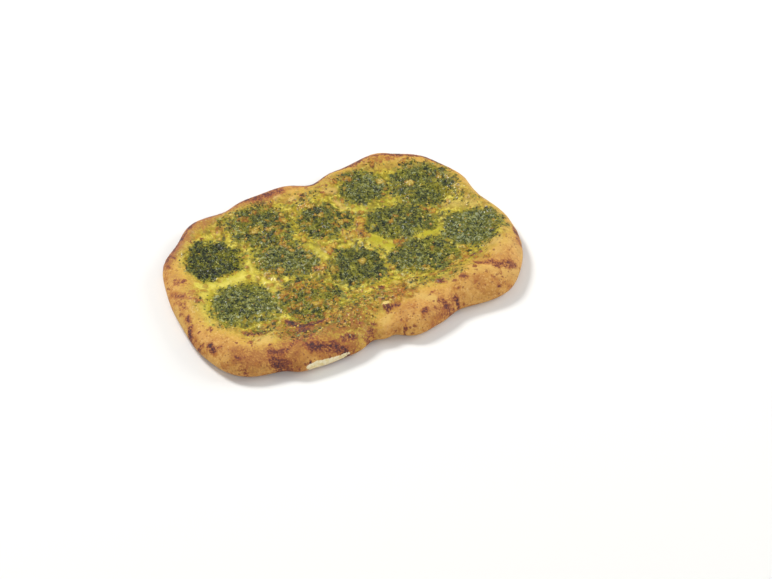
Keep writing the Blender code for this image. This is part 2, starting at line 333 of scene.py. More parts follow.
BUTTER_POOLS = (  # clear butter in the hollows
    (-88, 14, -62, 12, 5.4, 1.35),
    (-52, 22, -53, 10, 3.4, 0.8),
    (-49, 2, -47, -6, 4.0, 0.8),
    (-84, 13, -92, -5, 5.0, 0.9),
    (-92, -5, -95, -18, 3.8, 0.7),
    (-86, 44, -92, 26, 3.6, 0.6),
    (-66, 55, -63, 48, 3.6, 0.5),
    (-48, 32, -46, 28, 2.6, 0.5),
    (-13, 17, -10, 5, 3.6, 0.9),
    (25, 4, 32, -6, 4.8, 1.1),
    (53, -7, 66, -6, 3.2, 1.1),
    (26, 35, 33, 29, 3.6, 0.9),
    (50, 29, 66, 29, 3.4, 0.7),
    (33, 29, 38, 29, 3.0, 0.5),
)
BROWNED_STREAKS = (  # crust that browned without burning
    (-64, -36, -44, -46, 7.0, 0.7),
    (-56, -46, -18, -56, 10.0, 0.92),
    (-52, -50, -28, -57, 6.0, 1.05),
    (-64, -55, -52, -58, 5.0, 0.80),
    (-32, -48, -6, -50, 7.0, 0.65),
    (8, -47, 22, -50, 6.0, 0.9),
    (42, -42, 68, -36, 4.0, 0.6),
    (-50, 69, -8, 68, 4.0, 0.95),
    (-44, 66, -8, 65, 3.4, 0.80),
    (-76, 60, -56, 61, 4.5, 0.60),
    (-8, 67, 12, 65, 3.0, 0.6),
    (18, 62, 44, 62, 4.0, 0.45),
    (38, 69, 70, 65, 4.0, 0.5),
    (50, 68, 88, 58, 3.6, 0.6),
    (-98, 26, -94, 16, 5.0, 0.5),
    (-97, 10, -91, 1, 5.0, 0.55),
    (-106, -2, -108, -24, 3.4, 0.5),
    (-58, 54, -48, 54, 3.4, 0.6),
    (-76, 59, -97, 41, 5.0, 1.00),
    (-72, 63, -52, 66, 5.0, 0.90),
    (-92, -50, -62, -64, 8.0, 0.85),
    (-56, -58, -28, -70, 8.0, 0.9),
    (-22, -66, -10, -66, 5.0, 0.5),
    (24, -70, 44, -65, 6.0, 0.5),
    (72, -46, 90, -54, 5.0, 0.45),
    (0, -66, 22, -62, 5.0, 0.35),
    (55, -56, 62, -62, 4.0, 0.4),
)
BUTTER_SHORE = (  # bearing in degrees and radius in millimetres of the line where the butter stops
    (-175, 99),
    (-163, 94),
    (-150, 89),
    (-138, 80),
    (-124, 72),
    (-107, 71),
    (-95, 60),
    (-80, 51),
    (-65, 55),
    (-58, 60),
    (-48, 71),
    (-42, 76),
    (-33, 82),
    (-25, 95),
    (-18, 106),
    (-5, 105),
    (5, 100),
    (18, 99),
    (31, 96),
    (44, 88),
    (56, 80),
    (68, 68),
    (88, 58),
    (106, 67),
    (118, 74),
    (130, 83),
    (143, 96),
    (155, 100),
    (167, 94),
)
TOASTED_BUMPS = (  # place, radius and rise in millimetres, and how brown
    (4, -53, 3.4, 1.8, -0.10),
    (26, -42, 4.2, 2.4, 0.05),
    (25, -47, 3.6, 2.0, 0.20),
    (20, -37, 3.4, 1.6, 0.25),
    (16, -41, 3.2, 1.2, 0.55),
    (18, -47, 3.4, 1.3, 0.80),
    (20, -53, 3.0, 1.7, 0.45),
    (11, -42, 3.4, 1.2, 0.40),
    (12, -53, 2.4, 0.8, 0.60),
    (9, -37, 2.2, 0.8, 1.05),
    (12, -49, 3.0, 0.9, 0.85),
    (58, -40, 2.8, 1.3, 0.50),
    (62, -37, 2.6, 1.3, 0.42),
    (65, -35, 2.6, 1.3, 0.55),
    (69, -33, 2.4, 1.2, 0.45),
    (52, -42, 2.6, 0.8, 0.65),
    (42, -50, 2.4, 0.7, 0.90),
    (42, -35, 2.6, 0.8, 0.15),
    (-9, -9, 2.6, 0.7, 0.20),
    (-37, 44, 2.8, 0.5, 0.30),
    (12, 17, 2.6, 0.6, 0.35),
    (14, 12, 2.4, 0.6, 0.30),
    (24, 21, 2.8, 1.0, 0.55),
    (21, 10, 2.6, 0.9, 0.90),
    (22, 16, 2.8, 0.9, 0.45),
    (-16, -3, 2.8, 0.9, 0.85),
    (-4, 5, 2.6, 0.9, 0.70),
    (0, 9, 2.2, 0.8, 0.40),
    (-6, 8, 2.2, 0.7, 0.30),
    (-45, -13, 3.0, 0.9, 0.50),
    (68, 10, 2.2, 0.5, 0.85),
    (40, -6, 2.2, 0.6, 0.85),
    (74, 56, 2.2, 0.5, 0.65),
    (53, 48, 3.0, 0.4, 0.10),
    (68, 37, 2.8, 0.4, 0.12),
    (-30, -44, 3.2, 0.8, 0.55),
    (-25, -48, 2.8, 0.7, 0.65),
    (-36, -50, 3.0, 0.7, 0.75),
    (-20, -42, 2.6, 0.7, 0.40),
)
# Some of these rows are painted highlights on crests and painted light along the right rim; the others are
# pale dough
PALE_AND_LIT_STREAKS = (  # crust that stayed pale
    (-75, -44, -70, -45, 4.0, 1.0),
    (-66, -41, -60, -41, 4.5, 0.5),
    (3, -60, -2, -63, 2.4, 0.7),
    (24, -56, 32, -61, 4.0, 0.8),
    (84, -32, 90, -38, 4.5, 0.7),
    (80, 11, 94, 2, 5.0, 0.5),
    (78, -60, 92, -62, 6.0, 0.5),
    (64, -54, 76, -56, 5.0, 0.5),
    (86, -46, 96, -40, 5.0, 0.5),
    (98, -28, 102, -14, 4.0, 0.5),
    (-5, 58, -3, 58, 1.7, 1.0),
    (-13, 63, -11, 63, 1.6, 0.9),
    (16, 54, 22, 53, 2.2, 0.9),
    (19, 45, 21, 40, 2.6, 0.8),
    (96, -42, 100, -52, 5.0, 0.5),
    (-108, 6, -109, -16, 2.5, 0.5),
    (-30, -45, -26, -44, 2.6, 0.5),
)

# Crumbs of butter and garlic baked on the dish, at the places of the solid's own, and smaller bits on the
# rounds
CRUMB_COUNT = 72
CRUMB_RADIUS = (1.1 * MM, 1.9 * MM)
CRUMB_RISE = 0.6
CRUMB_SPACING = 4.6 * MM
CRUMB_ROUND_GAP = 1.2 * MM
CRUMB_RIM_GAP = 19 * MM
CRUMB_SEED = 5
ROUND_WOBBLE = 0.05
ROUND_WOBBLE_WAVES = (2, 3, 5)
ROUND_WOBBLE_SHARE = (0.4, 1.0)
ROUND_SEED = 31
BITS_ON_ROUND = 30
BIT_RADIUS = (0.8 * MM, 2.4 * MM)
BIT_RISE = 0.22
SHORE_WIDTH = 5 * MM
TEAR = (  # bearing in degrees, and height in millimetres up the edge, where the crust has torn off
    (-131.0, -0.9),
    (-129.5, -0.1),
    (-128.0, 0.9),
    (-126.0, 1.25),
    (-124.0, 1.1),
    (-121.5, 0.9),
    (-119.0, 0.6),
    (-116.5, 0.5),
    (-114.0, 0.35),
    (-112.0, 0.1),
    (-110.5, -0.2),
    (-109.0, -1.0),
)
TEAR_BELOW = 1.5
TEAR_DENT = 0.35 * MM

# Unevenness of each kind: rise and size in millimetres, octaves, seed
STREAK_BEND_X = ((1.4, 7, 3, 61.5), (0.9, 2.4, 2, 62.5))
STREAK_BEND_Y = ((1.4, 7, 3, 71.5), (0.9, 2.4, 2, 72.5))
SHORE_BEND = ((2.2, 8, 3, 81.5),)
BITS_BEND_X = ((1.5, 3.0, 3, 131.5),)
BITS_BEND_Y = ((1.5, 3.0, 3, 132.5),)
SOAKED_LUMPS = ((0.60, 5, 3, 1.5), (0.38, 2.2, 2, 4.5))
RIM_WRINKLES = ((0.18, 11, 3, 8.5), (0.05, 1.8, 2, 2.5))
BURNT_SKIN = ((0.16, 2.4, 3, 6.5),)


def lobe(bearing, centre, spread):
    """A smooth hump round one bearing, 1 at its centre. Bearing in radians, centre and spread in degrees."""
    off = np.remainder(bearing - math.radians(centre) + math.pi, 2 * math.pi) - math.pi
    return np.exp(-((off / math.radians(spread)) ** 2))


def outline_radius(bearing):
    """Distance from the middle of the bread to its edge."""
    along = np.abs(np.cos(bearing)) / (LENGTH / 2)
    across = np.abs(np.sin(bearing)) / (WIDTH / 2)
    radius = (along**SQUARENESS + across**SQUARENESS) ** (-1 / SQUARENESS)
    for centre, spread, reach in OUTLINE_LOBES:
        radius = radius + reach * MM * lobe(bearing, centre, spread)
    return radius


def edge_inset(x, y):
    """Distance of plan points from the outline, all of them inside it."""
    bearing = np.linspace(0, 2 * math.pi, OUTLINE_SAMPLES, endpoint=False)
    radius = outline_radius(bearing)
    edge_x, edge_y = radius * np.cos(bearing), radius * np.sin(bearing)
    flat_x, flat_y = np.ravel(x), np.ravel(y)
    nearest = np.empty(len(flat_x))
    for start in range(0, len(flat_x), POINTS_AT_ONCE):
        part = slice(start, start + POINTS_AT_ONCE)
        gaps = (flat_x[part, None] - edge_x) ** 2 + (flat_y[part, None] - edge_y) ** 2
        nearest[part] = np.sqrt(gaps.min(axis=1))
    return nearest.reshape(np.shape(x))


def smooth_step(share):
    share = np.clip(share, 0, 1)
    return share * share * (3 - 2 * share)


def relief(x, y):
    """Blisters, finger hollows and a low swell over the whole top."""
    height = np.zeros(np.shape(x))
    for centre_x, centre_y, radius, rise in BLISTERS:
        distance = np.hypot(x - centre_x * MM, y - centre_y * MM) / (radius * MM)
        height = height + rise * MM * np.exp(-(distance**2))
    waves = random.Random(SWELL_SEED)
    for _ in range(SWELL_WAVES):
        heading = waves.uniform(0, 2 * math.pi)
        phase = waves.uniform(0, 2 * math.pi)
        length = SWELL_LENGTH * waves.uniform(*SWELL_STRETCH)
        run = x * math.cos(heading) + y * math.sin(heading)
        height = height + SWELL_HEIGHT * np.sin(2 * math.pi * run / length + phase)
    return height


def dough_height(x, y, inset):
    """The bread's upper surface: a rounded shoulder up to the rim's crown, then down to the dish."""
    bearing = np.arctan2(y, x)
    crown = np.full(np.shape(x), RIM_CROWN)
    breadth = np.ones(np.shape(x))
    for centre, spread, rise, widen in RIM_LOBES:
        hump = lobe(bearing, centre, spread)
        crown = crown + rise * MM * hump
        breadth = breadth + widen * hump
    shoulder = np.clip(inset / (RIM_SHOULDER * breadth), 0, 1)
    rim = EDGE_HEIGHT + (crown - EDGE_HEIGHT) * np.sqrt(1 - (1 - shoulder) ** 2)
    fall = smooth_step((inset - RIM_SHOULDER * breadth) / (RIM_FALL * breadth))
    blend_in = smooth_step(inset / RIM_SHOULDER)
    return rim - (crown - DISH_HEIGHT) * fall + blend_in * relief(x, y)


def rough(x, y, size, octaves, seed):
    """Fractal unevenness of about -1 to 1, its largest lumps as far apart as size."""
    flat = zip(np.ravel(x) / size, np.ravel(y) / size)
    values = [noise.fractal(Vector((u, v, seed)), 0.9, 2.1, octaves) for u, v in flat]
    return np.array(values).reshape(np.shape(x))


def uneven(x, y, kinds):
    """Unevenness in metres, of one or more sizes."""
    total = 0
    for rise, size, octaves, seed in kinds:
        total = total + rise * MM * rough(x, y, size * MM, octaves, seed)
    return total


def streaks(x, y, marks):
    """How strongly plan points are marked by soft streaks, 0 to about 1. The streaks wander and break up."""
    x, y = x + uneven(x, y, STREAK_BEND_X), y + uneven(x, y, STREAK_BEND_Y)
    total = np.zeros(np.shape(x))
    for x0, y0, x1, y1, radius, strength in marks:
        run_x, run_y = (x1 - x0) * MM, (y1 - y0) * MM
        length = max(run_x**2 + run_y**2, MM**2 * 0.01)
        share = np.clip(((x - x0 * MM) * run_x + (y - y0 * MM) * run_y) / length, 0, 1)
        away = np.hypot(x - x0 * MM - share * run_x, y - y0 * MM - share * run_y)
        total = np.maximum(total, strength * np.exp(-((away / (radius * MM)) ** 2)))
    return total


def outside_round(x, y, number):
    """How far plan points lie from the middle of a round of herb butter, as a share of its reach there."""
    centre_x, centre_y, half_length, half_width = HERB_ROUNDS[number]
    away_x, away_y = x - centre_x * MM, y - centre_y * MM
    along = away_x * math.cos(ROUND_TURN) + away_y * math.sin(ROUND_TURN)
    across = away_y * math.cos(ROUND_TURN) - away_x * math.sin(ROUND_TURN)
    return np.hypot(along / (half_length * MM), across / (half_width * MM))


def butter_shore(x, y):
    """How far plan points lie inside the line where the butter stops. Below zero, the dough is dry."""
    bearings, radii = zip(*BUTTER_SHORE)
    shore = np.interp(np.degrees(np.arctan2(y, x)), bearings, radii, period=360) * MM
    return shore - np.hypot(x, y) + uneven(x, y, SHORE_BEND)


def herb_cover(x, y, soak, toast):
    """How thickly chopped herbs lie: thick on each round, fewer past its edge, a few strays over the dish."""
    cover = soak * (0.03 + 0.12 * toast) + streaks(x, y, HERB_STRAYS)
    wide = rough(x, y, 7 * MM, 3, 51.5)
    fine = rough(x, y, 2.6 * MM, 2, 57.5)
    holes = smooth_step(0.3 + 1.6 * rough(x, y, 4.5 * MM, 2, 59.5))
    for number in range(len(HERB_ROUNDS)):
        away = outside_round(x, y, number) + 0.20 * wide + 0.16 * fine
        _, toasted, spill = ROUND_LOOKS[number]
        thick = 1 - smooth_step((away - 0.70) / (0.32 + spill))
        cover = np.maximum(cover, thick * (1 - (0.25 + 0.7 * toasted) * holes))
    washed = smooth_step(streaks(x, y, BUTTER_POOLS) - 0.1)
    return np.minimum(cover, 1) * (1 - 0.9 * washed) * (1 - 0.8 * np.minimum(streaks(x, y, HERB_GAPS), 1.2))


def olive_stain(x, y):
    """How far the herbs have greened the butter: close round each round, and in smears between some."""
    near = np.zeros(np.shape(x))
    for number in range(len(HERB_ROUNDS)):
        near = np.maximum(near, 1 - smooth_step((outside_round(x, y, number) - 0.92) / 0.40))
    return np.maximum(near * 0.9, streaks(x, y, OLIVE_STREAKS))


def round_reach(number, bearing):
    """How far a round of herb butter spreads in a direction of its own, in the solid."""
    _, _, half_length, half_width = HERB_ROUNDS[number]
    wobble = random.Random(ROUND_SEED + number)
    turn = bearing - ROUND_TURN
    reach = MM / math.hypot(math.cos(turn) / half_length, math.sin(turn) / half_width)
    for waves in ROUND_WOBBLE_WAVES:
        phase = wobble.uniform(0, 2 * math.pi)
        depth = ROUND_WOBBLE * wobble.uniform(*ROUND_WOBBLE_SHARE)
        reach = reach * (1 + depth * math.sin(waves * bearing + phase))
    return reach


def outside_rounds(x, y, gap):
    """Whether a plan point is clear of every round of herb butter."""
    for number, (centre_x, centre_y, _, _) in enumerate(HERB_ROUNDS):
        away_x, away_y = x - centre_x * MM, y - centre_y * MM
        if math.hypot(away_x, away_y) < round_reach(number, math.atan2(away_y, away_x)) + gap:
            return False
    return True


def crumb_places():
    """Where the solid's crumbs lie: spread over the dish between the rounds, no two of them touching."""
    draw = random.Random(CRUMB_SEED)
    places = []
    while len(places) < CRUMB_COUNT:
        x = draw.uniform(-LENGTH / 2, LENGTH / 2)
        y = draw.uniform(-WIDTH / 2, WIDTH / 2)
        if math.hypot(x, y) > outline_radius(math.atan2(y, x)):
            continue
        if edge_inset(np.array([x]), np.array([y]))[0] < CRUMB_RIM_GAP:
            continue
        if not outside_rounds(x, y, CRUMB_RADIUS[1] + CRUMB_ROUND_GAP):
            continue
        if all(math.hypot(x - px, y - py) > CRUMB_SPACING for px, py in places):
            places.append((x, y))
    return places


def baked_bits():
    """Lumps of baked garlic and butter: place, radius and rise in metres, and how brown, 0 to 1."""
    draw = random.Random(CRUMB_SEED + 1)
    bits = [(x * MM, y * MM, radius * MM, rise * MM, tan) for x, y, radius, rise, tan in TOASTED_BUMPS]
    for x, y in crumb_places():
        radius = draw.uniform(*CRUMB_RADIUS)
        bits.append((x, y, radius, CRUMB_RISE * radius, draw.uniform(0.15, 0.75)))
    for number, (centre_x, centre_y, half_length, half_width) in enumerate(HERB_ROUNDS):
        for _ in range(round(ROUND_LOOKS[number][1] * BITS_ON_ROUND)):
            turn = draw.uniform(0, 2 * math.pi)
            out = math.sqrt(draw.random())
            along, across = out * half_length * math.cos(turn), out * half_width * math.sin(turn)
            x = centre_x + along * math.cos(ROUND_TURN) - across * math.sin(ROUND_TURN)
            y = centre_y + along * math.sin(ROUND_TURN) + across * math.cos(ROUND_TURN)
            radius = draw.uniform(*BIT_RADIUS)
            bits.append((x * MM, y * MM, radius, BIT_RISE * radius, draw.uniform(0.2, 0.7)))
    for x0, y0, x1, y1, spread, strength in TOAST_STREAKS:
        for _ in range(round(strength * (math.hypot(x1 - x0, y1 - y0) + spread) * 0.6)):
            share = draw.random()
            x = x0 + share * (x1 - x0) + draw.gauss(0, spread * 0.5)
            y = y0 + share * (y1 - y0) + draw.gauss(0, spread * 0.5)
            radius = draw.uniform(*BIT_RADIUS)
            bits.append((x * MM, y * MM, radius, BIT_RISE * radius, draw.uniform(0.35, 1.0)))
    return bits


def bits_field(x, y):
    """How far the baked bits raise plan points, how fully they cover them, and how brown they are there."""
    bent_x = x + uneven(x, y, BITS_BEND_X)
    bent_y = y + uneven(x, y, BITS_BEND_Y)
    rise, cover, brown = np.zeros(np.shape(x)), np.zeros(np.shape(x)), np.zeros(np.shape(x))
    for bit_x, bit_y, radius, height, tan in BAKED_BITS:
        near = (np.abs(bent_x - bit_x) < 2 * radius) & (np.abs(bent_y - bit_y) < 2 * radius)
        away = np.hypot(bent_x[near] - bit_x, bent_y[near] - bit_y) / radius
        hump = np.exp(-(away**3))
        brown[near] = np.where(hump > cover[near], tan, brown[near])
        cover[near] = np.maximum(cover[near], hump)
        rise[near] = np.maximum(rise[near], height * hump)
    return rise, cover, brown


BAKED_BITS = baked_bits()


def square_to_disc(a, b):
    """A square grid bent to a disc, with even facets and no pole. Returns radius share and bearing."""
    wide = np.abs(a) >= np.abs(b)
    safe_a = np.where(a == 0, 1, a)
    safe_b = np.where(b == 0, 1, b)
    bearing = np.where(wide, math.pi / 4 * b / safe_a, math.pi / 2 - math.pi / 4 * a / safe_b)
    radius = np.where(wide, a, b)
    bearing = np.where((a == 0) & (b == 0), 0, bearing)
    return np.abs(radius), bearing + np.where(radius < 0, math.pi, 0)


def disc_grid(lines, edge_bias):
    """Radius share and bearing over a bent grid, with the facets smaller towards the edge."""
    axes = []
    for count in lines:
        even = np.linspace(-1, 1, count)
        axes.append(np.sign(even) * (1 - (1 - np.abs(even)) ** edge_bias))
    return square_to_disc(*np.meshgrid(*axes))


def closed_pad(name, top, under, kept):
    """A closed mesh from a fine grid of points for the top and every other line of a grid for the underside.
    The two share the top's border, so there is no seam. Kept holds the material's numbers for each."""
    rows, columns, _ = top.shape
    points = [tuple(p) for p in top.reshape(-1, 3)]
    values = {title: list(np.ravel(of_top)) for title, (of_top, _) in kept.items()}

    def on_border(j, i):
        return j in (0, rows - 1) or i in (0, columns - 1)

    below = {}
    for j in range(0, rows, 2):
        for i in range(0, columns, 2):
            if on_border(j, i):
                below[j, i] = j * columns + i
            else:
                below[j, i] = len(points)
                points.append(tuple(under[j, i]))
                for title, (_, of_under) in kept.items():
                    values[title].append(of_under[j, i])
    faces = []
    for j in range(rows - 1):
        for i in range(columns - 1):
            corner = j * columns + i
            faces.append((corner, corner + 1, corner + columns + 1, corner + columns))
    for j in range(0, rows - 1, 2):
        for i in range(0, columns - 1, 2):
            face = []
            steps = ((0, 0, 1, 0), (2, 0, 0, 1), (2, 2, -1, 0), (0, 2, 0, -1))
            for row, column, row_step, column_step in steps:
                face.append(below[j + row, i + column])
                middle = (j + row + row_step, i + column + column_step)
                edge_j = row_step == 0 and j + row in (0, rows - 1)
                edge_i = column_step == 0 and i + column in (0, columns - 1)
                if edge_j or edge_i:
                    face.append(middle[0] * columns + middle[1])
            faces.append(tuple(face))
    mesh = bpy.data.meshes.new(name)
    mesh.from_pydata(points, [], faces)
    work = bmesh.new()
    work.from_mesh(mesh)
    bmesh.ops.triangulate(work, faces=work.faces)
    bmesh.ops.recalc_face_normals(work, faces=work.faces)
    work.to_mesh(mesh)
    work.free()
    mesh.shade_smooth()
    for title, numbers in values.items():
        store_values(mesh, title, numbers)
    obj = bpy.data.objects.new(name, mesh)
    bpy.context.scene.collection.objects.link(obj)
    return obj


def store_values(mesh, name, numbers):
    """Keeps one number for each point of a mesh, for its material to read."""
    attribute = mesh.attributes.new(name, "FLOAT", "POINT")
    attribute.data.foreach_set("value", np.asarray(numbers, np.float32))


share, bearing = disc_grid(BREAD_LINES, BREAD_EDGE_BIAS)
reach = share * outline_radius(bearing)
plan_x, plan_y = reach * np.cos(bearing), reach * np.sin(bearing)
inset = edge_inset(plan_x, plan_y)
shore = butter_shore(plan_x, plan_y)
soak = smooth_step(shore / SHORE_WIDTH + 0.5)
scorch = streaks(plan_x, plan_y, SCORCH_STREAKS)
toast = streaks(plan_x, plan_y, TOAST_STREAKS)
pools = streaks(plan_x, plan_y, BUTTER_POOLS)
browned = streaks(plan_x, plan_y, BROWNED_STREAKS)
# Pale dough, painted highlights and painted light, all in one mask
pale = streaks(plan_x, plan_y, PALE_AND_LIT_STREAKS)
herbs = herb_cover(plan_x, plan_y, soak, toast)
olive = olive_stain(plan_x, plan_y)
bit_rise, bit_cover, bit_brown = bits_field(plan_x, plan_y)

# The far edge is dark all along, and fades into the crust on top.
FAR_SIDE_START = 0.22
FAR_SIDE_FADE = 0.36
FAR_EDGE_BREADTH = 2.8 * MM
FAR_EDGE_FADE = 3.0 * MM
far_side = smooth_step((np.sin(bearing) - FAR_SIDE_START) / FAR_SIDE_FADE)
far_edge = far_side * (1 - smooth_step((inset - FAR_EDGE_BREADTH) / FAR_EDGE_FADE))
scorch = np.maximum(scorch, far_edge * (0.85 + 0.8 * rough(plan_x, plan_y, 12 * MM, 3, 21.5)))


def crust_detail(x, y, inset, soak, scorch, bit_rise):
    """Soft lumps in the soaked dish, faint wrinkles on the rim, and broken skin where it burnt."""
    lumps, wrinkles = uneven(x, y, SOAKED_LUMPS), uneven(x, y, RIM_WRINKLES)
    detail = soak * lumps + (1 - soak) * wrinkles + scorch * uneven(x, y, BURNT_SKIN) + bit_rise
    return detail * smooth_step(inset / (2 * MM))


top_z = dough_height(plan_x, plan_y, inset) + crust_detail(plan_x, plan_y, inset, soak, scorch, bit_rise)
border = np.ones_like(share, bool)
border[1:-1, 1:-1] = False
top_z[border] = EDGE_HEIGHT

rim_depth = (1 - share) * outline_radius(bearing)
curl = np.clip(rim_depth / UNDER_CURL, 0, 1)
under_z = EDGE_HEIGHT * (1 - np.sqrt(1 - (1 - curl) ** 2))

tear_bearings, tear_heights = zip(*TEAR)
tear_height = np.interp(np.degrees(np.arctan2(plan_y, plan_x)), tear_bearings, tear_heights)
torn_top = tear_height - rim_depth / MM
torn_under = TEAR_BELOW * tear_height - rim_depth / MM
dent = smooth_step(torn_top / 0.5 + 0.5) * (1 + 0.8 * rough(plan_x, plan_y, 1.6 * MM, 2, 91.5))
top_x = plan_x - TEAR_DENT * dent * np.cos(bearing)
top_y = plan_y - TEAR_DENT * dent * np.sin(bearing)
dent_under = smooth_step(torn_under / 0.5 + 0.5)
under_x = plan_x - TEAR_DENT * dent_under * np.cos(bearing)
under_y = plan_y - TEAR_DENT * dent_under * np.sin(bearing)

box_low, box_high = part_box("bread")
shift_x = (box_low.x + box_high.x - plan_x.min() - plan_x.max()) / 2
shift_y = (box_low.y + box_high.y - plan_y.min() - plan_y.max()) / 2
top_z = np.minimum(top_z, box_high.z)
bread = closed_pad(
    "bread_crust",
    np.dstack([top_x + shift_x, top_y + shift_y, top_z]),
    np.dstack([under_x + shift_x, under_y + shift_y, under_z]),
    {
        "shore": (shore / MM, np.minimum(shore / MM, -10)),
        "scorch": (scorch, scorch * (rim_depth < UNDER_CURL)),
        "toast": (toast, np.zeros_like(toast)),
        "pools": (pools, np.zeros_like(pools)),
        "tanned": (browned, browned * (rim_depth < UNDER_CURL)),
        "herbs": (herbs, np.zeros_like(herbs)),
        "olive": (olive, np.zeros_like(olive)),
        "pale": (pale, np.zeros_like(pale)),
        "bits": (bit_cover, np.zeros_like(bit_cover)),
        "bits_brown": (bit_brown, np.zeros_like(bit_brown)),
        "torn": (torn_top, torn_under),
    },
)


def tone(red, green, blue):
    """A colour as seen on a screen, 0 to 255 each, turned into the light it stands for."""
    return tuple(((c / 255 + 0.055) / 1.055) ** 2.4 for c in (red, green, blue)) + (1.0,)


def fill(tree, made, inputs):
    """Fills a node's inputs from plain values or other nodes' outputs."""
    for name, value in inputs.items():
        if isinstance(value, bpy.types.NodeSocket):
            tree.links.new(value, made.inputs[name])
        else:
            made.inputs[name].default_value = value


def place(tree, kind, inputs=None, **options):
    """Adds a node to a tree, with its options and inputs."""
    made = tree.nodes.new(kind)
    for option, value in options.items():
        setattr(made, option, value)
    fill(tree, made, inputs or {})
    return made


def arithmetic(tree, operation, first, second):
    return place(tree, "ShaderNodeMath", {0: first, 1: second}, operation=operation).outputs[0]


def plus(tree, first, second):
    return arithmetic(tree, "ADD", first, second)


def minus(tree, first, second):
    return arithmetic(tree, "SUBTRACT", first, second)


def times(tree, first, second):
    return arithmetic(tree, "MULTIPLY", first, second)


def between(tree, value, low, high):
    """0 below low, 1 above high, and a soft step between."""
    levels = {"Value": value, "From Min": low, "From Max": high}
    return place(tree, "ShaderNodeMapRange", levels, interpolation_type="SMOOTHSTEP").outputs[0]


def layer(tree, share, under, over):
    """One colour laid over another by a share."""
    return place(tree, "ShaderNodeMix", {0: share, 6: under, 7: over}, data_type="RGBA").outputs[2]


def fade_in(tree, value, low, high, strength, under, over):
    """One colour laid over another where a value rises from low to high, never by more than a strength."""
    return layer(tree, times(tree, between(tree, value, low, high), strength), under, over)


def kept_value(tree, name):
    """One of the numbers that the mesh holds for each of its points."""
    return place(tree, "ShaderNodeAttribute", attribute_name=name).outputs["Fac"]


def ramp_of(tree, value, colours):
    """A run of colours over a value from 0 to 1. Each colour comes with the value it stands at."""
    ramp = tree.nodes.new("ShaderNodeValToRGB")
    stops = ramp.color_ramp.elements
    while len(stops) > 1:
        stops.remove(stops[-1])
    stops[0].position, stops[0].color = colours[0]
    for start, colour in colours[1:]:
        stops.new(start).color = colour
    tree.links.new(value, ramp.inputs[0])
    return ramp.outputs["Color"]


def group_tree(name, wanted, given, kind="ShaderNodeTree"):
    """A node group with named inputs and outputs, each with its kind of value."""
    tree = bpy.data.node_groups.new(name, kind)
    for direction, sockets in (("INPUT", wanted), ("OUTPUT", given)):
        for title, value in sockets.items():
            tree.interface.new_socket(title, in_out=direction, socket_type=f"NodeSocket{value}")
    return tree, tree.nodes.new("NodeGroupInput").outputs, tree.nodes.new("NodeGroupOutput").inputs


def use_group(tree, group, inputs):
    made = tree.nodes.new("ShaderNodeGroup")
    made.node_tree = group
    fill(tree, made, inputs)
    return made.outputs


def make_oven_mottle():
    """Uneven patches of one size, as heat leaves them. Low and High are the levels where a patch fades in."""
    tree, wanted, given = group_tree(
        "oven_mottle",
        {"Position": "Vector", "Patch Size": "Float", "Low": "Float", "High": "Float"},
        {"Mask": "Float", "Height": "Float"},
    )
    scale = arithmetic(tree, "DIVIDE", 1.0, wanted["Patch Size"])
    grain = {"Vector": wanted["Position"], "Scale": scale, "Detail": 4.0, "Roughness": 0.6}
    height = place(tree, "ShaderNodeTexNoise", grain).outputs["Fac"]
    tree.links.new(between(tree, height, wanted["Low"], wanted["High"]), given["Mask"])
    tree.links.new(height, given["Height"])
    return tree


def make_chopped_bits():
    """Small chopped pieces lying close together: two numbers of its own for each, and its rounded height."""
    tree, wanted, given = group_tree(
        "chopped_bits",
        {"Position": "Vector", "Bit Size": "Float", "Ragged": "Float"},
        {"Pick": "Float", "Second Pick": "Float", "Height": "Float"},
    )
    position = wanted["Position"]
    scale = arithmetic(tree, "DIVIDE", 1.0, wanted["Bit Size"])
    bend = place(tree, "ShaderNodeTexNoise", {"Vector": position, "Scale": times(tree, scale, 1.7)})
    middle = (0.5, 0.5, 0.5)
    off = place(tree, "ShaderNodeVectorMath", {0: bend.outputs["Color"], 1: middle}, operation="SUBTRACT")
    pull = times(tree, wanted["Ragged"], wanted["Bit Size"])
    pulled = place(tree, "ShaderNodeVectorMath", {0: off.outputs[0], "Scale": pull}, operation="SCALE")
    where = place(tree, "ShaderNodeVectorMath", {0: position, 1: pulled.outputs[0]}, operation="ADD")
    bits = place(tree, "ShaderNodeTexVoronoi", {"Vector": where.outputs[0], "Scale": scale}).outputs
    picks = place(tree, "ShaderNodeSeparateColor", {"Color": bits["Color"]}).outputs
    tree.links.new(picks["Red"], given["Pick"])
    tree.links.new(picks["Green"], given["Second Pick"])
    tree.links.new(minus(tree, 1.0, bits["Distance"]), given["Height"])
    return tree


OVEN_MOTTLE = make_oven_mottle()
CHOPPED_BITS = make_chopped_bits()


def mottle(tree, position, size, low, high):
    return use_group(
        tree, OVEN_MOTTLE, {"Position": position, "Patch Size": size, "Low": low, "High": high}
    )["Mask"]


def grain_height(tree, position, size):
    """The unevenness that the mottle's patches are cut from, mostly 0.3 to 0.7."""
    return use_group(tree, OVEN_MOTTLE, {"Position": position, "Patch Size": size})["Height"]


def patchy(tree, position, size, low, high, under, over):
    """A colour with patches of another on it. Low and high are the levels where a patch fades in."""
    return layer(tree, mottle(tree, position, size, low, high), under, over)


def chopped(tree, position, size, ragged):
    return use_group(tree, CHOPPED_BITS, {"Position": position, "Bit Size": size, "Ragged": ragged})
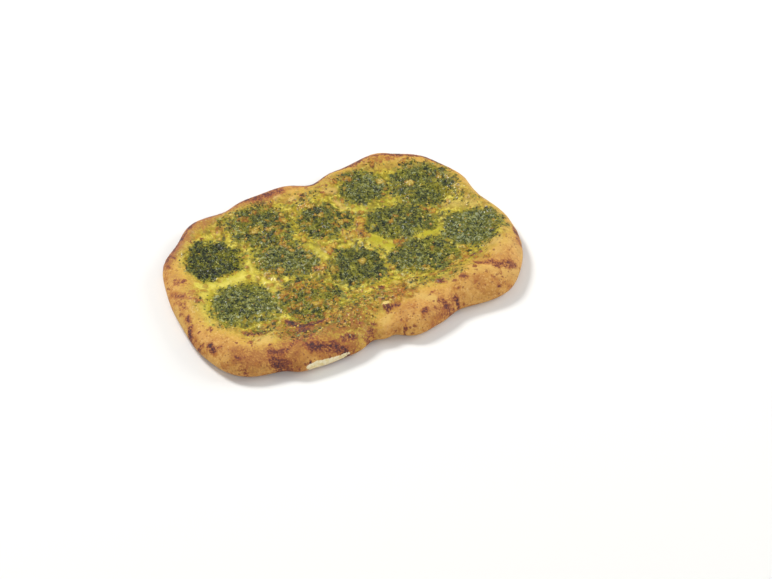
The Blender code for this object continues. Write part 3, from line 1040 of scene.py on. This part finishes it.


# The two palest, greyer stops are painted glints of oil on the leaves
HERB_COLOURS = (  # chopped leaves, from the darkest to the palest
    (0.00, tone(12, 16, 12)),
    (0.18, tone(30, 38, 26)),
    (0.36, tone(64, 78, 52)),
    (0.52, tone(90, 94, 32)),
    (0.70, tone(120, 120, 50)),
    (0.86, tone(150, 148, 70)),
    (0.95, tone(144, 148, 88)),
    (1.00, tone(158, 164, 122)),
)
OILY_COLOURS = (  # the same leaves soaked in butter
    (0.00, tone(34, 40, 10)),
    (0.28, tone(86, 90, 16)),
    (0.58, tone(124, 122, 24)),
    (0.84, tone(156, 150, 44)),
    (1.00, tone(196, 190, 96)),
)
BAKED_COLOURS = (  # lumps of garlic and butter, from pale to burnt
    (0.00, tone(236, 208, 128)),
    (0.20, tone(206, 180, 72)),
    (0.45, tone(188, 150, 50)),
    (0.68, tone(178, 112, 40)),
    (0.88, tone(134, 72, 36)),
    (1.00, tone(98, 52, 34)),
)


def herb_tone(tree, shade, oily):
    """The green of a chopped leaf, by how light it is and how oily."""
    return layer(tree, oily, ramp_of(tree, shade, HERB_COLOURS), ramp_of(tree, shade, OILY_COLOURS))


def make_herb_flecks():
    """Chopped herbs on a colour, in two sizes. Cover is how much they hide, Browned how many toasted."""
    tree, wanted, given = group_tree(
        "herb_flecks",
        {"Position": "Vector", "Under": "Color", "Cover": "Float", "Dark": "Float", "Browned": "Float"},
        {"Colour": "Color", "Height": "Float"},
    )
    position, cover, dark = wanted["Position"], wanted["Cover"], wanted["Dark"]
    oily = times(tree, mottle(tree, position, 8.0, 0.46, 0.62), between(tree, dark, -0.9, 0.6))
    shade = times(tree, minus(tree, grain_height(tree, position, 3.2), 0.5), 1.3)
    shade = minus(tree, shade, times(tree, dark, 0.22))
    juice = layer(tree, oily, tone(90, 94, 26), tone(138, 132, 28))
    colour = fade_in(tree, cover, 0.10, 0.80, 0.9, wanted["Under"], juice)
    for size, share in ((2.1, 0.55), (1.2, 0.85)):
        bits = chopped(tree, position, size, 1.1)
        herb = herb_tone(tree, plus(tree, bits["Second Pick"], shade), oily)
        room = minus(tree, times(tree, cover, share), bits["Pick"])
        colour = fade_in(tree, room, -0.06, 0.10, 0.85, colour, herb)
    toasted = plus(tree, grain_height(tree, position, 5.0), times(tree, wanted["Browned"], 0.12))
    warm = patchy(tree, position, 1.8, 0.40, 0.62, tone(180, 150, 40), tone(170, 110, 34))
    tree.links.new(fade_in(tree, toasted, 0.62, 0.72, 0.7, colour, warm), given["Colour"])
    tree.links.new(bits["Height"], given["Height"])
    return tree


HERB_FLECKS = make_herb_flecks()


def flecks(tree, position, under, cover, dark, browned):
    inputs = {"Position": position, "Under": under, "Cover": cover, "Dark": dark, "Browned": browned}
    return use_group(tree, HERB_FLECKS, inputs)


def bare_material(name):
    """A material with one Principled shader, and the piece's own position in millimetres."""
    material = bpy.data.materials.new(name)
    material.use_nodes = True
    tree = material.node_tree
    spot = tree.nodes.new("ShaderNodeTexCoord").outputs["Object"]
    position = place(tree, "ShaderNodeVectorMath", {0: spot, "Scale": 1 / MM}, operation="SCALE")
    return material, tree, tree.nodes["Principled BSDF"], position.outputs[0]


def bumpy(tree, height, strength):
    """The surface's own direction, tilted by a height."""
    shape = {"Height": height, "Strength": strength, "Distance": 0.8 * MM}
    return place(tree, "ShaderNodeBump", shape).outputs[0]


def buttered(tree, position, olive, toasted):
    """Dough soaked with garlic butter: yellow and ochre, greened near the herbs, grainy where it toasted."""
    butter = patchy(tree, position, 8.0, 0.40, 0.60, tone(190, 170, 44), tone(158, 138, 28))
    butter = patchy(tree, position, 5.0, 0.52, 0.66, butter, tone(182, 136, 40))
    butter = layer(tree, times(tree, olive, 0.75), butter, tone(134, 130, 26))
    # Pale on the grain's crests and dark in its dips: painted highlights and painted shade, in the colour
    # only
    grain = grain_height(tree, position, 3.0)
    butter = fade_in(tree, grain, 0.52, 0.62, 0.7, butter, tone(226, 210, 90))
    dip_shade = minus(tree, 1.0, between(tree, grain, 0.38, 0.47))
    butter = layer(tree, times(tree, dip_shade, 0.75), butter, tone(108, 88, 24))
    baked = plus(tree, grain_height(tree, position, 2.8), times(tree, toasted, 0.22))
    butter = fade_in(tree, baked, 0.60, 0.70, 0.8, butter, tone(182, 116, 34))
    return fade_in(tree, baked, 0.70, 0.80, 0.8, butter, tone(138, 76, 34))


def with_baked_bits(tree, position, base, share):
    """The baked lumps on a colour: ochre at the foot, and on top pale gold, orange or brown."""
    cover, brown = kept_value(tree, "bits"), kept_value(tree, "bits_brown")
    fine = minus(tree, grain_height(tree, position, 1.2), 0.5)
    # Each lump stays pale on top and darkens down its flanks to an ochre ring at its foot: painted shade
    flank_shade = times(tree, minus(tree, 1.0, cover), 0.55)
    deep = plus(tree, times(tree, brown, 0.75), times(tree, fine, 1.6))
    top = ramp_of(tree, plus(tree, deep, flank_shade), BAKED_COLOURS)
    base = fade_in(tree, cover, 0.08, 0.36, 0.55, base, tone(136, 108, 28))
    edge = plus(tree, cover, times(tree, fine, 1.4))
    return fade_in(tree, edge, 0.32, 0.72, share, base, top)


def freckles(tree, position, size, rarity):
    """Small burnt specks, one in a few of the cells of a size."""
    bits = chopped(tree, position, size, 0.9)
    chosen = between(tree, bits["Pick"], rarity, rarity + 0.03)
    return times(tree, chosen, between(tree, bits["Height"], 0.58, 0.76))


def make_crust():
    """Dry dough on the rim and buttered dough in the dish, then what the oven and the herbs left on both."""
    material, tree, shader, position = bare_material("crust")
    grain = grain_height(tree, position, 2.4)
    fine_patches = mottle(tree, position, 1.3, 0.32, 0.68)
    wide_patches = mottle(tree, position, 5.0, 0.32, 0.68)
    patches = plus(tree, times(tree, fine_patches, 0.7), times(tree, wide_patches, 0.3))
    wander = times(tree, minus(tree, grain, 0.5), 9.0)
    shore = plus(tree, kept_value(tree, "shore"), wander)
    wet = between(tree, shore, -3.5, 4.0)
    dry = minus(tree, 1.0, wet)

    dough = patchy(tree, position, 15.0, 0.40, 0.62, tone(212, 161, 83), tone(196, 141, 66))
    dough = patchy(tree, position, 6.0, 0.46, 0.68, dough, tone(178, 114, 52))
    faint = times(tree, mottle(tree, position, 2.8, 0.50, 0.66), 0.6)
    dough = layer(tree, faint, dough, tone(170, 106, 50))
    dough = layer(tree, between(tree, shore, -12.0, 2.0), dough, tone(204, 164, 66))
    # Fine pale specks: painted highlights on the dough
    dough = patchy(tree, position, 1.3, 0.48, 0.80, dough, tone(228, 188, 116))
    dough = patchy(tree, position, 1.9, 0.56, 0.78, dough, tone(168, 104, 50))

    olive = kept_value(tree, "olive")
    soaked = buttered(tree, position, olive, kept_value(tree, "toast"))
    shallow = minus(tree, 1.0, between(tree, shore, 3.0, 11.0))
    soaked = layer(tree, times(tree, shallow, 0.55), soaked, tone(190, 148, 68))
    lemon = patchy(tree, position, 4.0, 0.42, 0.62, tone(218, 204, 90), tone(200, 184, 60))
    lemon = layer(tree, times(tree, olive, 0.95), lemon, tone(172, 162, 20))
    pool = between(tree, plus(tree, kept_value(tree, "pools"), minus(tree, grain, 0.5)), 0.0, 1.3)
    base = layer(tree, wet, dough, layer(tree, pool, soaked, lemon))

    tanned = kept_value(tree, "tanned")
    tan = times(tree, tanned, plus(tree, patches, 0.3))
    base = fade_in(tree, tan, 0.15, 0.75, 0.85, base, tone(156, 96, 48))
    # Pale dough, with painted highlights and painted light laid on in the same tone
    base = fade_in(tree, kept_value(tree, "pale"), 0.1, 0.8, 0.75, base, tone(216, 180, 98))
    base = with_baked_bits(tree, position, base, minus(tree, 0.85, times(tree, pool, 0.5)))
    heat = times(tree, kept_value(tree, "scorch"), plus(tree, 0.30, times(tree, patches, 1.35)))
    base = fade_in(tree, heat, 0.22, 0.55, 0.75, base, tone(160, 92, 50))
    base = layer(tree, between(tree, heat, 0.58, 0.78), base, tone(116, 62, 48))
    base = layer(tree, between(tree, heat, 0.95, 1.15), base, tone(76, 46, 48))
    specked = plus(tree, mottle(tree, position, 12.0, 0.42, 0.58), tanned)
    specked = between(tree, specked, 0.1, 0.7)
    for size, rarity, strength in ((1.6, 0.72, 0.7), (2.6, 0.82, 0.85), (3.8, 0.88, 0.9)):
        spots = times(tree, freckles(tree, position, size, rarity), times(tree, dry, strength))
        base = layer(tree, times(tree, spots, specked), base, tone(134, 74, 48))

    cover = kept_value(tree, "herbs")
    herbed = flecks(tree, position, base, cover, 0.6, 0.0)
    base = layer(tree, between(tree, cover, 0.0, 0.03), base, herbed["Colour"])
    torn = between(tree, plus(tree, kept_value(tree, "torn"), times(tree, wander, 0.2)), -0.1, 0.15)
    crumb = patchy(tree, position, 2.2, 0.40, 0.62, tone(240, 228, 192), tone(226, 206, 148))
    base = layer(tree, torn, base, crumb)
    height = place(tree, "ShaderNodeSeparateXYZ", {0: position}).outputs["Z"]
    floor_side = minus(tree, 1.0, between(tree, height, 0.2, 1.2))
    oven_brown = patchy(tree, position, 9.0, 0.36, 0.72, tone(222, 184, 120), tone(156, 96, 52))
    base = layer(tree, floor_side, base, oven_brown)

    surface = {
        "Base Color": base,
        "Roughness": minus(tree, 0.58, times(tree, wet, 0.10)),
        "Specular IOR Level": 0.25,
        "Coat Weight": times(tree, wet, 0.10),
        "Coat Roughness": 0.1,
        "Normal": bumpy(tree, plus(tree, grain_height(tree, position, 0.9), grain), 0.6),
    }
    fill(tree, shader, surface)
    return material


crust = make_crust()
bread.data.materials.append(crust)
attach(bread, "root")
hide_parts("bread")

# The rounds of herb butter. Each began as a spoonful of soft butter full of chopped herbs, and melted in the
# oven to a thin lumpy patch that clings to the bread, ragged where its edge ran into the dough.
ROUND_LINES = (73, 73)
ROUND_SPREAD = 1.18
ROUND_THICKNESS = 1.1 * MM
ROUND_LUMP = 0.55 * MM
ROUND_SINK = 0.9 * MM


def round_rise(number, x, y):
    """How high a round of herb butter stands over the dough. Below zero, the dough shows."""
    away = outside_round(x, y, number)
    lumps = ROUND_LUMP * rough(x, y, 1.9 * MM, 3, 11.5 + number)
    frayed = 0.16 * rough(x, y, 6 * MM, 2, 31.5 + number)
    return ROUND_THICKNESS * (1 - (away + frayed) ** 4) + lumps


def bread_height(x, y, bit_rise):
    depth = edge_inset(x, y)
    wet = smooth_step(butter_shore(x, y) / SHORE_WIDTH + 0.5)
    return dough_height(x, y, depth) + crust_detail(x, y, depth, wet, streaks(x, y, SCORCH_STREAKS), bit_rise)


def make_herb_butter():
    """Butter greened all through and full of herbs, with the baked lumps on it."""
    material, tree, shader, position = bare_material("herb_butter")
    cover, browned = kept_value(tree, "herbs"), kept_value(tree, "browned")
    butter = buttered(tree, position, cover, browned)
    patch = flecks(tree, position, butter, cover, kept_value(tree, "dark"), browned)
    surface = {
        "Base Color": with_baked_bits(tree, position, patch["Colour"], 0.7),
        "Roughness": 0.5,
        "Specular IOR Level": 0.22,
        "Coat Weight": 0.16,
        "Coat Roughness": 0.1,
        "Normal": bumpy(tree, patch["Height"], 0.8),
    }
    fill(tree, shader, surface)
    return material


herb_butter = make_herb_butter()
disc_share, disc_bearing = disc_grid(ROUND_LINES, 1.0)
for number, (centre_x, centre_y, half_length, half_width) in enumerate(HERB_ROUNDS):
    along = disc_share * half_length * MM * ROUND_SPREAD * np.cos(disc_bearing)
    across = disc_share * half_width * MM * ROUND_SPREAD * np.sin(disc_bearing)
    round_x = centre_x * MM + along * math.cos(ROUND_TURN) - across * math.sin(ROUND_TURN)
    round_y = centre_y * MM + along * math.sin(ROUND_TURN) + across * math.cos(ROUND_TURN)
    bit_rise, bit_cover, bit_brown = bits_field(round_x, round_y)
    dough_z = bread_height(round_x, round_y, bit_rise)
    patch_z = dough_z + np.maximum(round_rise(number, round_x, round_y), -ROUND_SINK * 0.8)
    dark, browned, _ = ROUND_LOOKS[number]
    cover = herb_cover(round_x, round_y, np.ones_like(round_x), streaks(round_x, round_y, TOAST_STREAKS))
    patch = closed_pad(
        f"herb_round_{number + 1:02d}",
        np.dstack([round_x + shift_x, round_y + shift_y, patch_z]),
        np.dstack([round_x + shift_x, round_y + shift_y, dough_z - ROUND_SINK]),
        {
            "dark": (np.full_like(round_x, dark), np.full_like(round_x, dark)),
            "browned": (np.full_like(round_x, browned), np.zeros_like(round_x)),
            "herbs": (cover, cover),
            "bits": (bit_cover, bit_cover),
            "bits_brown": (bit_brown, bit_brown),
        },
    )
    patch.data.materials.append(herb_butter)
    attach(patch, "root")
    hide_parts(f"herb_butter_{number + 1:02d}")

# The chopped herbs themselves: parsley and coriander cut to about a millimetre, lying every way on the butter
# and strayed over the dish. They are scattered over a bed that follows the bread and its rounds.
BED_STEP = 1.0 * MM
BED_LIFT = 0.05 * MM
LEAF_LENGTH = 1.40 * MM
LEAF_WIDTH = 0.75 * MM
LEAF_THICKNESS = 0.14 * MM
LEAF_CORNERS = 6
LEAVES_PER_AREA = 0.75e6
SHAPES_OF_A_KIND = 5


def make_bed():
    """A sheet just over the bread and its rounds, with how thickly herbs and toasted butter lie on it."""
    columns = int(LENGTH / BED_STEP) + 1
    rows = int(WIDTH / BED_STEP) + 9
    across = np.linspace(-(rows - 1) / 2, (rows - 1) / 2, rows) * BED_STEP
    x, y = np.meshgrid(np.linspace(-LENGTH / 2, LENGTH / 2, columns), across)
    inside = np.hypot(x, y) < outline_radius(np.arctan2(y, x)) - 3 * MM
    bit_rise, bit_cover, _ = bits_field(x, y)
    z = np.where(inside, bread_height(x, y, bit_rise), EDGE_HEIGHT)
    toasted = streaks(x, y, TOAST_STREAKS)
    browned = np.zeros_like(x)
    for number in range(len(HERB_ROUNDS)):
        away = outside_round(x, y, number)
        near = away < 1.4
        rise = round_rise(number, x[near], y[near])
        z[near] += np.maximum(rise, 0)
        browned[near] = np.maximum(browned[near], ROUND_LOOKS[number][1] * (away[near] < 1.05))
    soaked = smooth_step(butter_shore(x, y) / SHORE_WIDTH + 0.5)
    pools = streaks(x, y, BUTTER_POOLS)
    herbs = herb_cover(x, y, soaked, toasted) * (1 - 0.8 * bit_cover)
    burnt = streaks(x, y, SCORCH_STREAKS)
    bare = (1 - 0.9 * np.minimum(pools, 1)) * (1 - 0.8 * np.minimum(burnt, 1)) * (1 - 0.7 * bit_cover)
    grains = soaked * (0.10 + toasted) * (1 - 0.8 * herbs) * bare
    faces = []
    for j in range(rows - 1):
        for i in range(columns - 1):
            if inside[j, i] and inside[j + 1, i] and inside[j, i + 1] and inside[j + 1, i + 1]:
                corner = j * columns + i
                faces.append((corner, corner + 1, corner + columns + 1, corner + columns))
    mesh = bpy.data.meshes.new("bed")
    points = np.dstack([x + shift_x, y + shift_y, z + BED_LIFT]).reshape(-1, 3)
    mesh.from_pydata([tuple(p) for p in points], [], faces)
    store_values(mesh, "herbs", np.ravel(herbs * inside))
    store_values(mesh, "grains", np.ravel(grains * inside))
    store_values(mesh, "browned", np.ravel(np.maximum(browned, toasted)))
    obj = bpy.data.objects.new("bed", mesh)
    bpy.context.scene.collection.objects.link(obj)
    return obj


def make_shapes(name, count, make_one):
    """A collection of a few shapes of one kind, for scattering."""
    shapes = bpy.data.collections.new(name)
    for number in range(count):
        work = bmesh.new()
        make_one(work, random.Random(number + 1))
        bmesh.ops.recalc_face_normals(work, faces=work.faces)
        mesh = bpy.data.meshes.new(f"{name}_{number + 1}")
        work.to_mesh(mesh)
        work.free()
        mesh.shade_smooth()
        shapes.objects.link(bpy.data.objects.new(mesh.name, mesh))
    return shapes


def one_leaf(work, draw):
    """A chopped bit of leaf: a thin bent chip with uneven corners."""
    corners = []
    for k in range(LEAF_CORNERS):
        turn = k * 2 * math.pi / LEAF_CORNERS + draw.uniform(-0.3, 0.3)
        out = draw.uniform(0.75, 1.15)
        x = out * math.cos(turn) * LEAF_LENGTH / 2
        y = out * math.sin(turn) * LEAF_WIDTH / 2
        corners.append(work.verts.new((x, y, draw.uniform(-0.12, 0.12) * LEAF_LENGTH)))
    over = work.verts.new((0, 0, LEAF_THICKNESS))
    under = work.verts.new((0, 0, -LEAF_THICKNESS * 0.3))
    for k in range(LEAF_CORNERS):
        work.faces.new((corners[k], corners[(k + 1) % LEAF_CORNERS], over))
        work.faces.new((corners[(k + 1) % LEAF_CORNERS], corners[k], under))


def make_scatter_tree():
    """Scatters a collection's shapes over a mesh, as thickly as one of its stored values says."""
    tree, wanted, given = group_tree(
        "scatter_on_bread",
        {
            "Geometry": "Geometry",
            "Shapes": "Collection",
            "Spread By": "String",
            "Density": "Float",
            "Smallest": "Float",
            "Largest": "Float",
            "Tilt": "Float",
            "Seed": "Int",
            "Material": "Material",
        },
        {"Geometry": "Geometry"},
        "GeometryNodeTree",
    )

    def drawn(kind, first, low, high, seed_step):
        """A random value for each piece. First is the place of the low input for this kind of value."""
        inputs = {first: low, first + 1: high, "Seed": plus(tree, wanted["Seed"], seed_step)}
        return place(tree, "FunctionNodeRandomValue", inputs, data_type=kind).outputs[first // 2]

    spread = place(tree, "GeometryNodeInputNamedAttribute", {"Name": wanted["Spread By"]}, data_type="FLOAT")
    scattered = place(
        tree,
        "GeometryNodeDistributePointsOnFaces",
        {
            "Mesh": wanted["Geometry"],
            "Density": times(tree, spread.outputs[0], wanted["Density"]),
            "Seed": wanted["Seed"],
        },
    )
    kinds = {"Collection": wanted["Shapes"], "Separate Children": True, "Reset Children": True}
    shapes = place(tree, "GeometryNodeCollectionInfo", kinds)
    tilt = wanted["Tilt"]
    back = times(tree, tilt, -1.0)
    low_turn = place(tree, "ShaderNodeCombineXYZ", {"X": back, "Y": back, "Z": 0.0})
    high_turn = place(tree, "ShaderNodeCombineXYZ", {"X": tilt, "Y": tilt, "Z": 2 * math.pi})
    turn = drawn("FLOAT_VECTOR", 0, low_turn.outputs[0], high_turn.outputs[0], 1.0)
    turned = place(tree, "FunctionNodeEulerToRotation", {0: turn})
    turns = {0: scattered.outputs["Rotation"], 1: turned.outputs[0]}
    rotation = place(tree, "FunctionNodeRotateRotation", turns, rotation_space="LOCAL")
    placed = place(
        tree,
        "GeometryNodeInstanceOnPoints",
        {
            "Points": scattered.outputs["Points"],
            "Instance": shapes.outputs[0],
            "Pick Instance": True,
            "Rotation": rotation.outputs[0],
            "Scale": drawn("FLOAT", 2, wanted["Smallest"], wanted["Largest"], 2.0),
        },
    )
    shade = {"Geometry": placed.outputs[0], "Name": "shade", "Value": drawn("FLOAT", 2, 0.0, 1.0, 3.0)}
    stored = place(tree, "GeometryNodeStoreNamedAttribute", shade, data_type="FLOAT", domain="INSTANCE")
    solid = place(tree, "GeometryNodeRealizeInstances", {"Geometry": stored.outputs[0]})
    coat = {"Geometry": solid.outputs[0], "Material": wanted["Material"]}
    coated = place(tree, "GeometryNodeSetMaterial", coat)
    tree.links.new(coated.outputs[0], given[0])
    return tree


def scatter(name, bed, tree, choices):
    """Runs the scattering over the bed and keeps what it makes as a plain mesh."""
    modifier = bed.modifiers.new(name, "NODES")
    modifier.node_group = tree
    for item in tree.interface.items_tree:
        if item.in_out == "INPUT" and item.name in choices:
            modifier[item.identifier] = choices[item.name]
    bed.update_tag()
    graph = bpy.context.evaluated_depsgraph_get()
    covered = bed.evaluated_get(graph)
    mesh = bpy.data.meshes.new_from_object(covered, preserve_all_data_layers=True, depsgraph=graph)
    bed.modifiers.remove(modifier)
    mesh.name = name
    if not mesh.materials:
        mesh.materials.append(choices["Material"])
    obj = bpy.data.objects.new(name, mesh)
    bpy.context.scene.collection.objects.link(obj)
    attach(obj, "root")
    return obj


def make_leaf_material():
    """The greens of the flecks under the leaves, each leaf with a shade of its own."""
    material, tree, shader, position = bare_material("chopped_leaf")
    oily = mottle(tree, position, 8.0, 0.46, 0.62)
    wide = minus(tree, grain_height(tree, position, 3.2), 0.5)
    shade = plus(tree, kept_value(tree, "shade"), times(tree, wide, 1.3))
    green = herb_tone(tree, shade, oily)
    fill(tree, shader, {"Base Color": green, "Roughness": 0.5, "Specular IOR Level": 0.35})
    return material


bed = make_bed()
scatter_tree = make_scatter_tree()
leaf_shapes = make_shapes("leaf", SHAPES_OF_A_KIND, one_leaf)
leaves = scatter(
    "chopped_herbs",
    bed,
    scatter_tree,
    {
        "Shapes": leaf_shapes,
        "Spread By": "herbs",
        "Density": LEAVES_PER_AREA,
        "Smallest": 0.5,
        "Largest": 1.2,
        "Tilt": math.radians(28),
        "Seed": 3,
        "Material": make_leaf_material(),
    },
)

# The toasted crumbs. Bits of garlic and milk solids from the butter, baked to pale gold and orange-brown
# grains on the dish between the rounds and along the foot of the rim.
GRAIN_SIZE = 1.4 * MM
GRAIN_FLATNESS = 0.45
GRAINS_PER_AREA = 0.13e6
GRAIN_COLOURS = (  # from pale gold to burnt
    (0.00, tone(216, 200, 110)),
    (0.20, tone(200, 176, 66)),
    (0.45, tone(200, 160, 58)),
    (0.66, tone(188, 130, 46)),
    (0.84, tone(150, 84, 36)),
    (1.00, tone(104, 56, 34)),
)


def one_grain(work, draw):
    """A crumb: a small uneven lump, flatter than it is wide."""
    bmesh.ops.create_icosphere(work, subdivisions=1, radius=GRAIN_SIZE / 2)
    for corner in work.verts:
        corner.co *= draw.uniform(0.7, 1.25)
        corner.co.z *= GRAIN_FLATNESS


def make_grain_material():
    """Each grain with a shade of its own, browner where the butter toasted."""
    material, tree, shader, position = bare_material("toasted_butter")
    own, browned = kept_value(tree, "shade"), kept_value(tree, "browned")
    step = plus(tree, times(tree, own, 0.66), times(tree, browned, 0.27))
    pale = times(tree, mottle(tree, position, 0.8, 0.4, 0.7), 0.4)
    surface = {
        "Base Color": layer(tree, pale, ramp_of(tree, step, GRAIN_COLOURS), tone(214, 178, 90)),
        "Roughness": 0.4,
        "Coat Weight": 0.3,
        "Coat Roughness": 0.2,
    }
    fill(tree, shader, surface)
    return material


grain_shapes = make_shapes("grain", SHAPES_OF_A_KIND, one_grain)
grains = scatter(
    "toasted_crumbs",
    bed,
    scatter_tree,
    {
        "Shapes": grain_shapes,
        "Spread By": "grains",
        "Density": GRAINS_PER_AREA,
        "Smallest": 0.6,
        "Largest": 1.5,
        "Tilt": math.radians(40),
        "Seed": 17,
        "Material": make_grain_material(),
    },
)
for shapes in (leaf_shapes, grain_shapes):
    for shape in list(shapes.objects):
        bpy.data.objects.remove(shape)
    bpy.data.collections.remove(shapes)
bpy.data.objects.remove(bed)

# The studio: a plain pale floor, a large soft light from behind on the left, weaker ones to lift the front,
# and a long lens looking down at the near edge of the bread.
FLOOR_SIZE = 6.0
FLOOR_DROP = 0.05 * MM
FLOOR_TONE = tone(236, 235, 232)
FLOOR_ROUGHNESS = 0.9
LIGHTS = (  # name, place and breadth in metres, watts
    ("key_light", (-0.35, 0.85, 1.05), 0.4, 15.5),
    ("front_light", (-0.55, -1.2, 1.1), 1.2, 7.2),
    ("side_light", (1.2, -0.3, 0.6), 1.0, 10.5),
)
WORLD_STRENGTH = 0.36
CAMERA_LENS = 115.0
CAMERA_SENSOR = 36.0
CAMERA_AZIMUTH = math.radians(-27.325)
CAMERA_ELEVATION = math.radians(46.0)
CAMERA_DISTANCE = 1.5
CAMERA_TARGET = Vector((16.39 * MM + shift_x, -29.53 * MM + shift_y, 0.0))

floor_mesh = bpy.data.meshes.new("floor")
half = FLOOR_SIZE / 2
floor_corners = [(x, y, -FLOOR_DROP) for x, y in ((-half, -half), (half, -half), (half, half), (-half, half))]
floor_mesh.from_pydata(floor_corners, [], [(0, 1, 2, 3)])
floor = bpy.data.objects.new("floor", floor_mesh)
bpy.context.scene.collection.objects.link(floor)
floor_material = bpy.data.materials.new("studio_floor")
floor_material.use_nodes = True
floor_shader = floor_material.node_tree.nodes["Principled BSDF"]
fill(floor_material.node_tree, floor_shader, {"Base Color": FLOOR_TONE, "Roughness": FLOOR_ROUGHNESS})
floor_mesh.materials.append(floor_material)

for name, spot, breadth, watts in LIGHTS:
    light = bpy.data.lights.new(name, "AREA")
    light.shape = "DISK"
    light.size = breadth
    light.energy = watts
    lamp = bpy.data.objects.new(name, light)
    lamp.location = spot
    lamp.rotation_euler = (-Vector(spot)).to_track_quat("-Z", "Y").to_euler()
    bpy.context.scene.collection.objects.link(lamp)

world = bpy.data.worlds.new("studio")
world.use_nodes = True
sky = world.node_tree.nodes["Background"]
fill(world.node_tree, sky, {"Color": (1.0, 1.0, 1.0, 1.0), "Strength": WORLD_STRENGTH})
bpy.context.scene.world = world
bpy.context.scene.view_settings.view_transform = "Standard"

camera_data = bpy.data.cameras.new("camera")
camera_data.lens = CAMERA_LENS
camera_data.sensor_width = CAMERA_SENSOR
camera_data.dof.use_dof = False
camera = bpy.data.objects.new("camera", camera_data)
back = Vector(
    (
        math.sin(CAMERA_AZIMUTH) * math.cos(CAMERA_ELEVATION),
        -math.cos(CAMERA_AZIMUTH) * math.cos(CAMERA_ELEVATION),
        math.sin(CAMERA_ELEVATION),
    )
)
camera.location = CAMERA_TARGET + back * CAMERA_DISTANCE
camera.rotation_mode = "QUATERNION"
camera.rotation_quaternion = (-back).to_track_quat("-Z", "Y")
bpy.context.scene.collection.objects.link(camera)
bpy.context.scene.camera = camera

bpy.context.view_layer.update()
